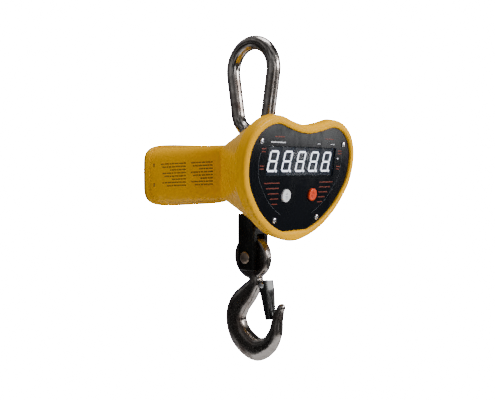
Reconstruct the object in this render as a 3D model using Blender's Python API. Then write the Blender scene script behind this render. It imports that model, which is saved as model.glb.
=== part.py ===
"""Crane scale: a lifting ring, a yellow housing with a heart-shaped bezel, and a swinging hook.

Metres, +Z up. The origin is the inner crown of the lifting ring, where a crane hook carries the scale.
The load runs down the Z axis through ring, load cell, fork and hook. The display faces -Y.
"""

import math

import bmesh
import bpy
from mathutils import Matrix, Vector

# Clearances
GAP = 0.0003                 # between pieces that touch
SLIP = 0.0003                # between a pin or button and its hole
OVERLAP = 0.0002             # keeps the faces of joined shapes out of one plane

# Lifting ring
RING_BAR = 0.0215            # diameter of the ring's bar
RING_TOP_RADIUS = 0.0410     # centreline radius at the top of the eye
RING_FOOT_RADIUS = 0.0310    # centreline radius at the foot of the eye
RING_INSIDE_HEIGHT = 0.1125  # clear height of the eye
RING_NECK_RADIUS = 0.0215    # round neck that goes into the housing
EYE_FOOT = -RING_INSIDE_HEIGHT  # lowest point inside the eye, from which the heights below are measured
RING_NECK_TOP = EYE_FOOT - 0.0020
RING_NECK_END = EYE_FOOT - 0.0370
RING_THREAD_DEPTH = 0.0200
SLEEVE_WALL = 0.0025
RING_SLEEVE_OUTER = RING_NECK_RADIUS + GAP + SLEEVE_WALL

# Load train
STUD_RADIUS = 0.0100
CELL_HEIGHT = 0.0600
CELL_WIDTH = 0.0500
CELL_DEPTH = 0.0270
CELL_SLOT = 0.0035           # height of the two cuts that make the S
CELL_WINDOW_RADIUS = 0.0095
CELL_ARM = 0.0155            # thickness of the cell's upper and lower arms
BRACKET_THICKNESS = 0.0040
BRACKET_HALF_DEPTH = 0.0130
BRACKET_SCREW_X = 0.0330
BOLT_RADIUS = 0.0020
LOCK_NUT_HEIGHT = 0.0060
HOOK_EYE_WIDTH = 0.0158
FORK_CHEEK = 0.0096
FORK_WIDTH = HOOK_EYE_WIDTH + 2 * FORK_CHEEK + 0.0010  # across the two cheeks, along X
FORK_DEPTH = 0.0320
FORK_TOP = EYE_FOOT - 0.1345  # top of the square part
FORK_NECK_RADIUS = 0.0150
FORK_SLEEVE_OUTER = FORK_NECK_RADIUS + GAP + SLEEVE_WALL
FORK_EDGE = 0.0022           # chamfer of the fork's corners

# Hook
PIN_Z = FORK_TOP - 0.0660    # height of the fork pin
FORK_END = PIN_Z - 0.0200
PIN_RADIUS = 0.0078
HOOK_EYE_RADIUS = 0.0335
LATCH_PIN_Y = -0.0260
LATCH_PIN_Z = PIN_Z - 0.0400
LATCH_PIN_RADIUS = 0.0025
LATCH_EAR_WIDTH = 0.0090
LATCH_EAR_RADIUS = 0.0070
LATCH_WIDTH = 0.0196         # over the latch's two legs
LATCH_SHEET = 0.0015
LATCH_LENGTH = 0.0520
LATCH_LEAN = math.radians(10.5)  # closed latch, from vertical towards the tip

# Display face
TILT = math.radians(8.8)     # the face looks down by this much
FACE_Y = -0.0912
FACE_Z = EYE_FOOT - 0.0897
HEART_HALF_WIDTH = 0.1250
HEART_LOBE = 0.0965          # top of a lobe above the face's centre
HEART_NOTCH = 0.0855
HEART_CHIN = 0.0825          # lowest point below the face's centre
BEZEL_WIDTH = 0.0115
BEZEL_PROUD = 0.0035
PANEL_BOTTOM = 0.0660        # the panel's straight lower edge
PANEL_THICKNESS = 0.0030
LEDGE_WIDTH = 0.0075
DIGIT_COUNT = 5
DIGIT_PITCH = 0.03004
DIGIT_DEPTH = 0.0100
WINDOW_HALF_WIDTH = DIGIT_COUNT * DIGIT_PITCH / 2 + 0.0011
WINDOW_LOW = 0.0130
WINDOW_HIGH = 0.0550
LENS_THICKNESS = 0.0020
LENS_DEPTH = 0.0004          # the window's front face lies this far behind the panel's
BUTTON_RADIUS = 0.0090
BUTTON_X = 0.0300
BUTTON_V = -0.0144
BUTTON_TRAVEL = 0.0010
BUTTON_PROUD = 0.0030
BOARD_THICKNESS = 0.0016
BOARD_SIDE_ROOM = 0.0488      # from the heart's widest point to the edge of the display board
SCREW_RADIUS = 0.0015
SCREW_BOSS_RADIUS = 0.0055
UPPER_SCREW = (0.02253, 0.0608)   # how far inside the heart's edge, and its height
LOWER_SCREW = (0.01953, -0.0490)

# Housing
WALL = 0.0040
WAIST_Y = 0.0280             # joint plane of the two shells
WAIST_HALF_WIDTH = 0.0420
WAIST_TOP = EYE_FOOT - 0.0300
WAIST_BOTTOM = EYE_FOOT - 0.1140
WAIST_BOLT_INSET = 0.0100
WAIST_LUG_RADIUS = 0.0052
WAIST_SQUARENESS = 7.0       # power of the rounded section: the higher, the tighter its corners
REAR_Y = 0.1340              # rear end of the rear shell
REAR_HALF_WIDTH = 0.0980
REAR_TOP = EYE_FOOT - 0.0305
REAR_BOTTOM = EYE_FOOT - 0.1235
REAR_MIDDLE = (REAR_TOP + REAR_BOTTOM) / 2
REAR_SQUARENESS = 5.0
RIM_PROUD = 0.0025
RIM_DEPTH = 0.0055
GASKET = 0.0009
COVER_THICKNESS = 0.0030
COVER_RAISED = 0.0018        # height of the cover's raised middle
COVER_SCREW_INSET = 0.0145
COVER_CUT = (REAR_Y - 0.0140, REAR_Y + 0.0260)  # from inside the cover to well behind it
SWITCH_X = REAR_HALF_WIDTH - 0.0260
SOCKET_X = -SWITCH_X
SWITCH_HALF_WIDTH = 0.0072
SWITCH_HALF_HEIGHT = 0.0112
SOCKET_RADIUS = 0.0057
BOARD_Y = 0.0580
BATTERY_SIZE = (0.0980, 0.0460, 0.0680)
BATTERY_Y = 0.0980
ROCKER_LEAN = math.radians(8.0)

TRAY_SHEET = 0.0015
TRAY_SIDE_ROOM = 0.01665     # from the shell's inner side to the tray, at the tray's front
SIDES = 28                   # facets round a large turned piece


def clear_scene():
    for old in list(bpy.data.objects):
        bpy.data.objects.remove(old, do_unlink=True)


FINISHES = {
    "yellow_paint": ((0.90, 0.58, 0.03), 0.0, 0.28),
    "plated_steel": ((0.62, 0.62, 0.63), 1.0, 0.22),
    "zinc_steel": ((0.66, 0.67, 0.69), 1.0, 0.35),
    "black_paint": ((0.02, 0.02, 0.02), 0.0, 0.30),
    "panel_black": ((0.012, 0.015, 0.022), 0.0, 0.20),
    "tinted_lens": ((0.05, 0.06, 0.08), 0.0, 0.10),
    "digit_black": ((0.03, 0.03, 0.04), 0.0, 0.45),
    "white_button": ((0.85, 0.85, 0.85), 0.0, 0.40),
    "orange_button": ((0.86, 0.14, 0.04), 0.0, 0.40),
    "rubber": ((0.05, 0.05, 0.05), 0.0, 0.80),
    "aluminium": ((0.75, 0.76, 0.78), 1.0, 0.40),
    "circuit_board": ((0.03, 0.22, 0.08), 0.0, 0.50),
    "switch_plastic": ((0.04, 0.04, 0.05), 0.0, 0.50),
    "battery_case": ((0.10, 0.11, 0.13), 0.0, 0.50),
    "pin_steel": ((0.42, 0.36, 0.30), 1.0, 0.38),
}


def material(name, finish):
    colour, metallic, roughness = FINISHES[finish]
    made = bpy.data.materials.new(name + "_material")
    made.use_nodes = True
    shader = made.node_tree.nodes["Principled BSDF"]
    shader.inputs["Base Color"].default_value = (*colour, 1.0)
    shader.inputs["Metallic"].default_value = metallic
    shader.inputs["Roughness"].default_value = roughness
    made.diffuse_color = (*colour, 1.0)
    return made


def add(name, shape, finish, origin=(0.0, 0.0, 0.0), parent=None, round_piece=True):
    """An object made of (points, faces), with its origin at `origin` in its parent's frame."""
    points, faces = shape
    mesh = bpy.data.meshes.new(name)
    mesh.from_pydata([Vector(p) - Vector(origin) for p in points], [], faces)
    work = bmesh.new()
    work.from_mesh(mesh)
    bmesh.ops.recalc_face_normals(work, faces=work.faces)
    work.to_mesh(mesh)
    work.free()
    piece = bpy.data.objects.new(name, mesh)
    bpy.context.scene.collection.objects.link(piece)
    piece.location = origin
    piece.parent = parent
    mesh.materials.append(material(name, finish))
    if round_piece:
        mesh.shade_smooth()
        mesh.set_sharp_from_angle(angle=math.radians(35))
    return piece


def helper(name, shape, parent=None):
    """A cutter or an added boss: left out of the build, used by a Boolean."""
    piece = add(name, shape, "zinc_steel", parent=parent, round_piece=False)
    piece.hide_render = True
    piece.display_type = "WIRE"
    return piece


def boolean(target, other, operation):
    step = target.modifiers.new(other.name, "BOOLEAN")
    step.operation = operation
    step.object = other
    step.solver = "EXACT"


def cut(target, name, shape, parent=None):
    boolean(target, helper("cut_" + name, shape, parent), "DIFFERENCE")


def join(target, name, shape, parent=None):
    boolean(target, helper("add_" + name, shape, parent), "UNION")


def round_edges(piece, width, segments=2):
    edge = piece.modifiers.new("edges", "BEVEL")
    edge.width = width
    edge.segments = segments
    edge.limit_method = "ANGLE"


def loft(rings, loop=False):
    """Skin through rings of equal length: closed on itself, or capped at both ends."""
    count = len(rings[0])
    points = [p for ring in rings for p in ring]
    faces = []
    for level in range(len(rings) if loop else len(rings) - 1):
        here = level * count
        there = (level + 1) % len(rings) * count
        for i in range(count):
            j = (i + 1) % count
            faces.append((here + i, here + j, there + j, there + i))
    if not loop:
        faces.append(tuple(range(count)))
        faces.append(tuple(range(len(points) - count, len(points))))
    return points, faces


def turned(profile, centre=(0.0, 0.0, 0.0), axis="Z", sides=SIDES, loop=False):
    """A profile of (radius, height) turned about a line through `centre` along `axis`."""
    order = {"Z": (0, 1, 2), "X": (1, 2, 0), "Y": (0, 2, 1)}[axis]
    rings = []
    for radius, height in profile:
        ring = []
        for i in range(sides):
            turn = math.tau * i / sides
            flat = (radius * math.cos(turn), radius * math.sin(turn), height)
            place = [0.0, 0.0, 0.0]
            for value, slot in zip(flat, order):
                place[slot] = value + centre[slot]
            ring.append(tuple(place))
        rings.append(ring)
    return loft(rings, loop)


def rod(radius, start, end, centre=(0.0, 0.0, 0.0), axis="Z", sides=SIDES, edge=0.0):
    if edge:
        profile = [(radius - edge, start), (radius, start + edge), (radius, end - edge), (radius - edge, end)]
    else:
        profile = [(radius, start), (radius, end)]
    return turned(profile, centre, axis, sides)


def sleeve(inner, outer, start, end, centre=(0.0, 0.0, 0.0), axis="Z", sides=SIDES):
    profile = [(inner, start), (outer, start), (outer, end), (inner, end)]
    return turned(profile, centre, axis, sides, loop=True)


def nut(bore, flats, start, end, centre=(0.0, 0.0, 0.0), axis="Z"):
    """A hexagon nut `flats` wide with a round bore."""
    order = {"Z": (0, 1, 2), "X": (1, 2, 0)}[axis]
    rings = []
    for hexagon, height in ((False, start), (True, start), (True, end), (False, end)):
        ring = []
        for i in range(24):
            turn = math.tau * i / 24
            off_flat = (turn + math.pi / 6) % (math.pi / 3) - math.pi / 6
            radius = flats / 2 / math.cos(off_flat) if hexagon else bore
            place = [0.0, 0.0, 0.0]
            for value, slot in zip((radius * math.cos(turn), radius * math.sin(turn), height), order):
                place[slot] = value + centre[slot]
            ring.append(tuple(place))
        rings.append(ring)
    return loft(rings, loop=True)


def block(low, high):
    corners = [(low[0], low[1]), (high[0], low[1]), (high[0], high[1]), (low[0], high[1])]
    return loft([[(x, y, low[2]) for x, y in corners], [(x, y, high[2]) for x, y in corners]])


def smooth_path(points, steps, closed=False):
    """Catmull-Rom curve through tuples of any length."""
    count = len(points)
    result = []
    for i in range(count if closed else count - 1):
        if closed:
            around = [points[(i + k) % count] for k in (-1, 0, 1, 2)]
        else:
            around = [points[min(max(i + k, 0), count - 1)] for k in (-1, 0, 1, 2)]
        for step in range(steps):
            t = step / steps
            weights = (
                (-t + 2 * t * t - t ** 3) / 2,
                (2 - 5 * t * t + 3 * t ** 3) / 2,
                (t + 4 * t * t - 3 * t ** 3) / 2,
                (t ** 3 - t * t) / 2,
            )
            place = [0.0] * len(points[0])
            for weight, point in zip(weights, around):
                place = [a + weight * b for a, b in zip(place, point)]
            result.append(tuple(place))
    if not closed:
        result.append(tuple(points[-1]))
    return result


def screw(name, place, out, sizes, finish, parent=None, sides=12):
    """A domed screw along Y: `out` is -1 when the head looks to -Y, and `place` is under the head.

    `sizes` is (head radius, head height, shank radius, shank length).
    """
    head_radius, head_height, shank_radius, shank_length = sizes
    profile = [
        (shank_radius, -shank_length),
        (shank_radius, 0.0),
        (head_radius, 0.0),
        (head_radius, head_height * 0.35),
        (head_radius * 0.80, head_height * 0.80),
        (head_radius * 0.35, head_height),
    ]
    shape = turned([(r, out * h) for r, h in profile], place, "Y", sides)
    return add(name, shape, finish, place, parent)


# Display face: pieces below use (across, depth behind the face, up the face)

def heart_outline():
    wide, high, chin = HEART_HALF_WIDTH, HEART_LOBE, HEART_CHIN
    right_side = [
        (0.24 * wide, 0.930 * high),
        (0.48 * wide, 1.000 * high),
        (0.70 * wide, 0.945 * high),
        (0.87 * wide, 0.790 * high),
        (0.97 * wide, 0.570 * high),
        (1.00 * wide, 0.320 * high),
        (0.965 * wide, 0.030 * high),
        (0.855 * wide, -0.260 * chin),
        (0.705 * wide, -0.530 * chin),
        (0.480 * wide, -0.785 * chin),
        (0.225 * wide, -0.945 * chin),
    ]
    left_side = [(-u, v) for u, v in reversed(right_side)]
    points = [(0.0, HEART_NOTCH), *right_side, (0.0, -chin), *left_side]
    return smooth_path(points, 2, closed=True)


HEART = heart_outline()


def heart(inset, floor=None):
    """The heart moved inwards by `inset`, cut off straight at height -floor if one is given."""
    result = []
    count = len(HEART)
    for i, (u, v) in enumerate(HEART):
        before = HEART[i - 1]
        after = HEART[(i + 1) % count]
        along = Vector((after[0] - before[0], after[1] - before[1])).normalized()
        u_in = u + along.y * inset
        v_in = v - along.x * inset
        if floor is not None:
            v_in = max(v_in, -floor)
        result.append((u_in, v_in))
    return result


def reach_at(outline, height):
    """How far the outline reaches to the right at this height."""
    found = 0.0
    for i, (u, v) in enumerate(outline):
        next_u, next_v = outline[(i + 1) % len(outline)]
        if min(v, next_v) <= height < max(v, next_v):
            found = max(found, u + (next_u - u) * (height - v) / (next_v - v))
    return found


def on_face(outline, depth):
    """An outline on the tilted face, in world places."""
    return [
        (
            u,
            FACE_Y - v * math.sin(TILT) + depth * math.cos(TILT),
            FACE_Z + v * math.cos(TILT) + depth * math.sin(TILT),
        )
        for u, v in outline
    ]


def rounded_section(half_width, top, bottom, y, power):
    """A rounded rectangle at depth y, with one point for each point of the heart."""
    middle = (top + bottom) / 2
    half_height = (top - bottom) / 2
    ring = []
    for u, v in HEART:
        turn = math.atan2((v - 0.1 * HEART_LOBE) / HEART_LOBE, u / HEART_HALF_WIDTH)
        across, up = math.cos(turn) * half_width, math.sin(turn) * half_height
        reach = (abs(math.cos(turn)) ** power + abs(math.sin(turn)) ** power) ** (-1 / power)
        ring.append((across * reach, y, middle + up * reach))
    return ring


def between(first, second, share):
    return [tuple(a + (b - a) * share for a, b in zip(p, q)) for p, q in zip(first, second)]


def waist(inset, y):
    top, bottom = WAIST_TOP - inset, WAIST_BOTTOM + inset
    return rounded_section(WAIST_HALF_WIDTH - inset, top, bottom, y, WAIST_SQUARENESS)


def rear(inset, y):
    top, bottom = REAR_TOP - inset, REAR_BOTTOM + inset
    return rounded_section(REAR_HALF_WIDTH - inset, top, bottom, y, REAR_SQUARENESS)


SCREW_PLACES = [
    (side * reach_at(heart(inset), height), height)
    for inset, height in (UPPER_SCREW, LOWER_SCREW)
    for side in (-1, 1)
]
LEDGE_DEPTH = PANEL_THICKNESS + GASKET + 2 * GAP
FRONT_END = WAIST_Y - GAP - GASKET / 2
REAR_START = WAIST_Y + GAP + GASKET / 2
WAIST_BOLTS = [
    (side * (WAIST_HALF_WIDTH - WAIST_BOLT_INSET), z)
    for side in (-1, 1)
    for z in (WAIST_TOP - WAIST_BOLT_INSET, WAIST_BOTTOM + WAIST_BOLT_INSET)
]
COVER_SCREWS = [
    (side * (REAR_HALF_WIDTH - COVER_SCREW_INSET), z)
    for side in (-1, 1)
    for z in (REAR_TOP - COVER_SCREW_INSET, REAR_BOTTOM + COVER_SCREW_INSET)
]


def make_front_shell():
    chin = PANEL_BOTTOM + GAP
    side_front = on_face(heart(0.0), 0.012)
    cone_front = on_face(heart(0.0035), 0.0165)
    inner_front = on_face(heart(0.0035 + WALL), 0.0190)
    outer_waist = waist(0.0, FRONT_END)
    inner_waist = waist(WALL, FRONT_END)
    ledge = BEZEL_WIDTH + LEDGE_WIDTH
    rings = [
        on_face(heart(0.0045), -BEZEL_PROUD * 0.9),
        on_face(heart(0.0012), -BEZEL_PROUD * 0.3),
        on_face(heart(0.0), 0.0025),
        side_front,
        cone_front,
        between(cone_front, outer_waist, 0.33),
        between(cone_front, outer_waist, 0.67),
        outer_waist,
        inner_waist,
        between(inner_front, inner_waist, 0.67),
        between(inner_front, inner_waist, 0.33),
        inner_front,
        on_face(heart(0.0035 + WALL), 0.0110),
        on_face(heart(ledge, chin - LEDGE_WIDTH), LEDGE_DEPTH + 0.0035),
        on_face(heart(ledge, chin - LEDGE_WIDTH), LEDGE_DEPTH),
        on_face(heart(BEZEL_WIDTH, chin), LEDGE_DEPTH),
        on_face(heart(BEZEL_WIDTH, chin), -BEZEL_PROUD * 0.55),
        on_face(heart(BEZEL_WIDTH * 0.75), -BEZEL_PROUD),
    ]
    shell = add("front_shell", loft(rings, loop=True), "yellow_paint")
    for number, (u, v) in enumerate(SCREW_PLACES, 1):
        place = (u, 0.0, v)
        boss = rod(SCREW_BOSS_RADIUS, LEDGE_DEPTH + OVERLAP, 0.0160, place, "Y", 16)
        join(shell, f"panel_boss_{number}", boss, DISPLAY)
        thread = rod(SCREW_RADIUS + GAP, -0.01, 0.0130, place, "Y", 12)
        cut(shell, f"panel_thread_{number}", thread, DISPLAY)
    for number, (x, z) in enumerate(WAIST_BOLTS, 1):
        place = (x, 0.0, z)
        lug = rod(WAIST_LUG_RADIUS, FRONT_END - 0.010, FRONT_END - OVERLAP, place, "Y", 16)
        join(shell, f"waist_lug_{number}", lug)
        thread = rod(BOLT_RADIUS + GAP, FRONT_END - 0.0080, WAIST_Y + 0.0220, place, "Y", 12)
        cut(shell, f"waist_thread_{number}", thread)
    # A flat seat cut into the sloping underside leaves room for the square of the fork.
    seat_z = FORK_TOP + 0.0010
    seat_radius = math.hypot(FORK_WIDTH, FORK_DEPTH) / 2 + 0.0009
    pad_low = (-seat_radius - 0.0010, -seat_radius - 0.0050, seat_z + 0.0005)
    pad_high = (seat_radius + 0.0010, -0.0110, seat_z + 0.0045)
    join(shell, "fork_pad", block(pad_low, pad_high))
    hole_radius = FORK_SLEEVE_OUTER + GAP
    stepped = [
        (seat_radius, FORK_TOP - 0.0700),
        (seat_radius, seat_z),
        (hole_radius, seat_z),
        (hole_radius, FORK_TOP + 0.0470),
    ]
    cut(shell, "fork_hole", turned(stepped))
    cut(shell, "ring_hole", rod(RING_SLEEVE_OUTER + GAP, RING_NECK_END - 0.0200, EYE_FOOT + 0.0120))
    for side in (-1, 1):
        place = (side * BRACKET_SCREW_X, 0.0, 0.0)
        boss = rod(0.0062, RING_NECK_END, RING_NECK_END + 0.0110, place, "Z", 16)
        join(shell, f"bracket_boss_{side}", boss)
        thread = rod(BOLT_RADIUS + GAP, RING_NECK_END - 0.0100, RING_NECK_END + 0.0070, place, "Z", 12)
        cut(shell, f"bracket_thread_{side}", thread)


def make_rear_shell():
    rim_start = REAR_Y - RIM_DEPTH
    share = (rim_start - REAR_START) / (REAR_Y - REAR_START)
    outer_start, outer_end = waist(0.0, REAR_START), rear(0.0, REAR_Y)
    inner_start, inner_end = waist(WALL, REAR_START), rear(WALL, REAR_Y)
    rim = rear(-RIM_PROUD, REAR_Y)
    rings = [
        outer_start,
        between(outer_start, outer_end, share / 3),
        between(outer_start, outer_end, share * 2 / 3),
        between(outer_start, outer_end, share),
        [(x, rim_start + 0.0012, z) for x, y, z in rim],
        rim,
        inner_end,
        between(inner_start, inner_end, 2 / 3),
        between(inner_start, inner_end, 1 / 3),
        inner_start,
    ]
    shell = add("rear_shell", loft(rings, loop=True), "yellow_paint")
    for number, (x, z) in enumerate(WAIST_BOLTS, 1):
        place = (x, 0.0, z)
        lug = rod(WAIST_LUG_RADIUS, REAR_START + OVERLAP, REAR_START + 0.006, place, "Y", 16)
        join(shell, f"rear_lug_{number}", lug)
        hole = rod(BOLT_RADIUS + GAP, FRONT_END, REAR_START + 0.010, place, "Y", 12)
        cut(shell, f"rear_hole_{number}", hole)
    for number, (x, z) in enumerate(COVER_SCREWS, 1):
        place = (x, 0.0, z)
        boss = rod(0.0050, REAR_Y - 0.0075, REAR_Y - OVERLAP, place, "Y", 16)
        join(shell, f"cover_boss_{number}", boss)
        thread = rod(SCREW_RADIUS + GAP, REAR_Y - 0.0062, COVER_CUT[1], place, "Y", 12)
        cut(shell, f"cover_thread_{number}", thread)


def make_joints_of_housing():
    seat = [waist(0.0006, FRONT_END + GAP), waist(0.0006, REAR_START - GAP)]
    seat += [waist(WALL - 0.0006, REAR_START - GAP), waist(WALL - 0.0006, FRONT_END + GAP)]
    add("waist_gasket", loft(seat, loop=True), "rubber")
    for number, (x, z) in enumerate(WAIST_BOLTS, 1):
        place = (x, REAR_START + 0.006 + GAP, z)
        screw(f"shell_bolt_{number}", place, 1, (0.0036, 0.0030, BOLT_RADIUS, 0.0125), "zinc_steel")
    start = REAR_Y + GAP
    end = start + GASKET
    seat = [rear(-0.0016, start), rear(-0.0016, end), rear(WALL - 0.0006, end), rear(WALL - 0.0006, start)]
    add("rear_gasket", loft(seat, loop=True), "rubber")
    front = end + GAP
    back = front + COVER_THICKNESS
    face = back + COVER_RAISED
    cover_rings = [
        rear(-RIM_PROUD, front),
        rear(-RIM_PROUD, back - 0.001),
        rear(-RIM_PROUD + 0.001, back),
        rear(0.0085, back),
        rear(0.0100, face),
    ]
    cover = add("rear_cover", loft(cover_rings), "yellow_paint")
    # The screw seats go through the raised middle down to the plate.
    for number, (x, z) in enumerate(COVER_SCREWS, 1):
        cut(cover, f"cover_hole_{number}", rod(SCREW_RADIUS + GAP, *COVER_CUT, (x, 0.0, z), "Y", 12))
        cut(cover, f"cover_seat_{number}", rod(0.0046, back, COVER_CUT[1], (x, 0.0, z), "Y", 16))
        place = (x, back + GAP, z)
        screw(f"rear_screw_{number}", place, 1, (0.0035, 0.0022, SCREW_RADIUS, 0.0095), "zinc_steel")
    half_x, half_z = SWITCH_HALF_WIDTH + SLIP, SWITCH_HALF_HEIGHT + SLIP
    low = (SWITCH_X - half_x, COVER_CUT[0], REAR_MIDDLE - half_z)
    high = (SWITCH_X + half_x, COVER_CUT[1], REAR_MIDDLE + half_z)
    cut(cover, "switch_opening", block(low, high))
    opening = rod(SOCKET_RADIUS + SLIP, *COVER_CUT, (SOCKET_X, 0.0, REAR_MIDDLE), "Y", 24)
    cut(cover, "socket_opening", opening)
    return face


def make_rear_fittings(face):
    """The power switch and the charge socket, let into the rear cover."""
    half_x, half_z = SWITCH_HALF_WIDTH, SWITCH_HALF_HEIGHT
    low = (SWITCH_X - half_x, face - 0.0120, REAR_MIDDLE - half_z)
    high = (SWITCH_X + half_x, face + GAP, REAR_MIDDLE + half_z)
    frame = add("switch_frame", block(low, high), "switch_plastic", round_piece=False)
    flange_low = (SWITCH_X - half_x - 0.0020, face + GAP, REAR_MIDDLE - half_z - 0.0020)
    flange_high = (SWITCH_X + half_x + 0.0020, face + 0.0018, REAR_MIDDLE + half_z + 0.0020)
    join(frame, "switch_flange", block(flange_low, flange_high))
    well_low = (SWITCH_X - half_x + 0.0016, face - 0.0070, REAR_MIDDLE - half_z + 0.0014)
    well_high = (SWITCH_X + half_x - 0.0016, face + 0.0100, REAR_MIDDLE + half_z - 0.0014)
    cut(frame, "switch_well", block(well_low, well_high))
    half = half_z - 0.0019
    reach = half_x - 0.0020
    crown = [(-half, 0.0), (-half, 0.0030), (0.0, 0.0016), (half, 0.0030), (half, 0.0), (0.0, -0.0035)]
    pivot_y = face + 0.0004
    rings = [[(SWITCH_X + x, pivot_y + y, REAR_MIDDLE + z) for z, y in crown] for x in (-reach, reach)]
    pivot = (SWITCH_X, pivot_y, REAR_MIDDLE)
    rocker = add("power_rocker", loft(rings), "switch_plastic", pivot, round_piece=False)
    rocker.rotation_euler = (-ROCKER_LEAN, 0.0, 0.0)
    place = (SOCKET_X, 0.0, REAR_MIDDLE)
    shell_profile = [
        (0.0032, face - 0.0060),
        (SOCKET_RADIUS, face - 0.0060),
        (SOCKET_RADIUS, face + GAP),
        (0.0078, face + GAP),
        (0.0074, face + 0.0016),
        (0.0032, face + 0.0016),
    ]
    add("charge_socket", turned(shell_profile, place, "Y", 24, loop=True), "switch_plastic")
    contact = [
        (0.0029, face - 0.0080),
        (0.0029, face - 0.0066),
        (0.0009, face - 0.0066),
        (0.0009, face - 0.0010),
    ]
    add("socket_contact", turned(contact, place, "Y", 16), "zinc_steel")


def make_display():
    chin = PANEL_BOTTOM
    back = PANEL_THICKNESS
    outline = heart(BEZEL_WIDTH + GAP, chin)
    rings = [[(u, depth, v) for u, v in outline] for depth in (0.0, back)]
    panel = add("front_panel", loft(rings), "panel_black", parent=DISPLAY)
    window = block((-WINDOW_HALF_WIDTH, -0.01, WINDOW_LOW), (WINDOW_HALF_WIDTH, 0.01, WINDOW_HIGH))
    cut(panel, "window", window, DISPLAY)
    lens_low = (-WINDOW_HALF_WIDTH + GAP, LENS_DEPTH, WINDOW_LOW + GAP)
    lens_high = (WINDOW_HALF_WIDTH - GAP, LENS_DEPTH + LENS_THICKNESS, WINDOW_HIGH - GAP)
    add("display_lens", block(lens_low, lens_high), "tinted_lens", parent=DISPLAY, round_piece=False)
    front, rear_face = back + GAP, back + GAP + GASKET
    seat_width = 0.0050
    inner = BEZEL_WIDTH + seat_width
    seat = []
    for inset, floor, depth in (
        (BEZEL_WIDTH + 0.0006, chin - 0.0006, front),
        (BEZEL_WIDTH + 0.0006, chin - 0.0006, rear_face),
        (inner, chin - seat_width, rear_face),
        (inner, chin - seat_width, front),
    ):
        seat.append([(u, depth, v) for u, v in heart(inset, floor)])
    add("panel_gasket", loft(seat, loop=True), "rubber", parent=DISPLAY)
    for number, (u, v) in enumerate(SCREW_PLACES, 1):
        hole = rod(SCREW_RADIUS + GAP, -0.01, 0.01, (u, 0.0, v), "Y", 12)
        cut(panel, f"screw_hole_{number}", hole, DISPLAY)
        sizes = (0.0042, 0.0024, SCREW_RADIUS, 0.0120)
        screw(f"panel_screw_{number}", (u, -GAP, v), -1, sizes, "plated_steel", DISPLAY, 16)
    digit_front = back + 2 * GAP
    digit_back = digit_front + DIGIT_DEPTH
    for number in range(DIGIT_COUNT):
        middle = (number - (DIGIT_COUNT - 1) / 2) * DIGIT_PITCH
        reach = DIGIT_PITCH / 2 - GAP / 2
        low = (middle - reach, digit_front, WINDOW_LOW + 0.0005)
        high = (middle + reach, digit_back, WINDOW_HIGH - 0.0005)
        add(f"digit_{number + 1}", block(low, high), "digit_black", parent=DISPLAY, round_piece=False)
    board_front = digit_back + GAP
    board_half = HEART_HALF_WIDTH - BOARD_SIDE_ROOM
    board_low = (-board_half, board_front, BUTTON_V - 0.0140)
    board_high = (board_half, board_front + BOARD_THICKNESS, WINDOW_HIGH + 0.0030)
    board_shape = block(board_low, board_high)
    board = add("display_board", board_shape, "circuit_board", parent=DISPLAY, round_piece=False)
    cable_slot = block((-0.012, board_front - 0.01, -0.0200), (0.012, board_front + 0.01, -0.0120))
    cut(board, "ribbon_slot", cable_slot, DISPLAY)
    make_buttons(panel, board_front)


def make_buttons(panel, board_front):
    flange_front = PANEL_THICKNESS + GAP
    stem_end = flange_front + 0.0030
    switch_top = stem_end + BUTTON_TRAVEL + GAP
    for side, name, finish in ((-1, "hold_button", "white_button"), (1, "tare_button", "orange_button")):
        place = (side * BUTTON_X, 0.0, BUTTON_V)
        cut(panel, name, rod(BUTTON_RADIUS + SLIP, -0.01, 0.01, place, "Y", 32), DISPLAY)
        profile = [
            (0.0030, stem_end),
            (0.0030, flange_front + 0.0014),
            (BUTTON_RADIUS + 0.0018, flange_front + 0.0014),
            (BUTTON_RADIUS + 0.0018, flange_front),
            (BUTTON_RADIUS, flange_front),
            (BUTTON_RADIUS, -BUTTON_PROUD + 0.0010),
            (BUTTON_RADIUS - 0.0004, -BUTTON_PROUD + 0.0003),
            (BUTTON_RADIUS - 0.0012, -BUTTON_PROUD),
            (BUTTON_RADIUS * 0.4, -BUTTON_PROUD + 0.0003),
        ]
        add(name, turned(profile, place, "Y", 24), finish, place, DISPLAY)
        low = (place[0] - 0.0045, switch_top + 0.0010, BUTTON_V - 0.0045)
        high = (place[0] + 0.0045, board_front - GAP, BUTTON_V + 0.0045)
        switch_name = name.replace("button", "switch")
        switch = add(switch_name, block(low, high), "switch_plastic", parent=DISPLAY, round_piece=False)
        join(switch, switch_name, rod(0.0017, switch_top, switch_top + 0.003, place, "Y", 12), DISPLAY)


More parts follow.
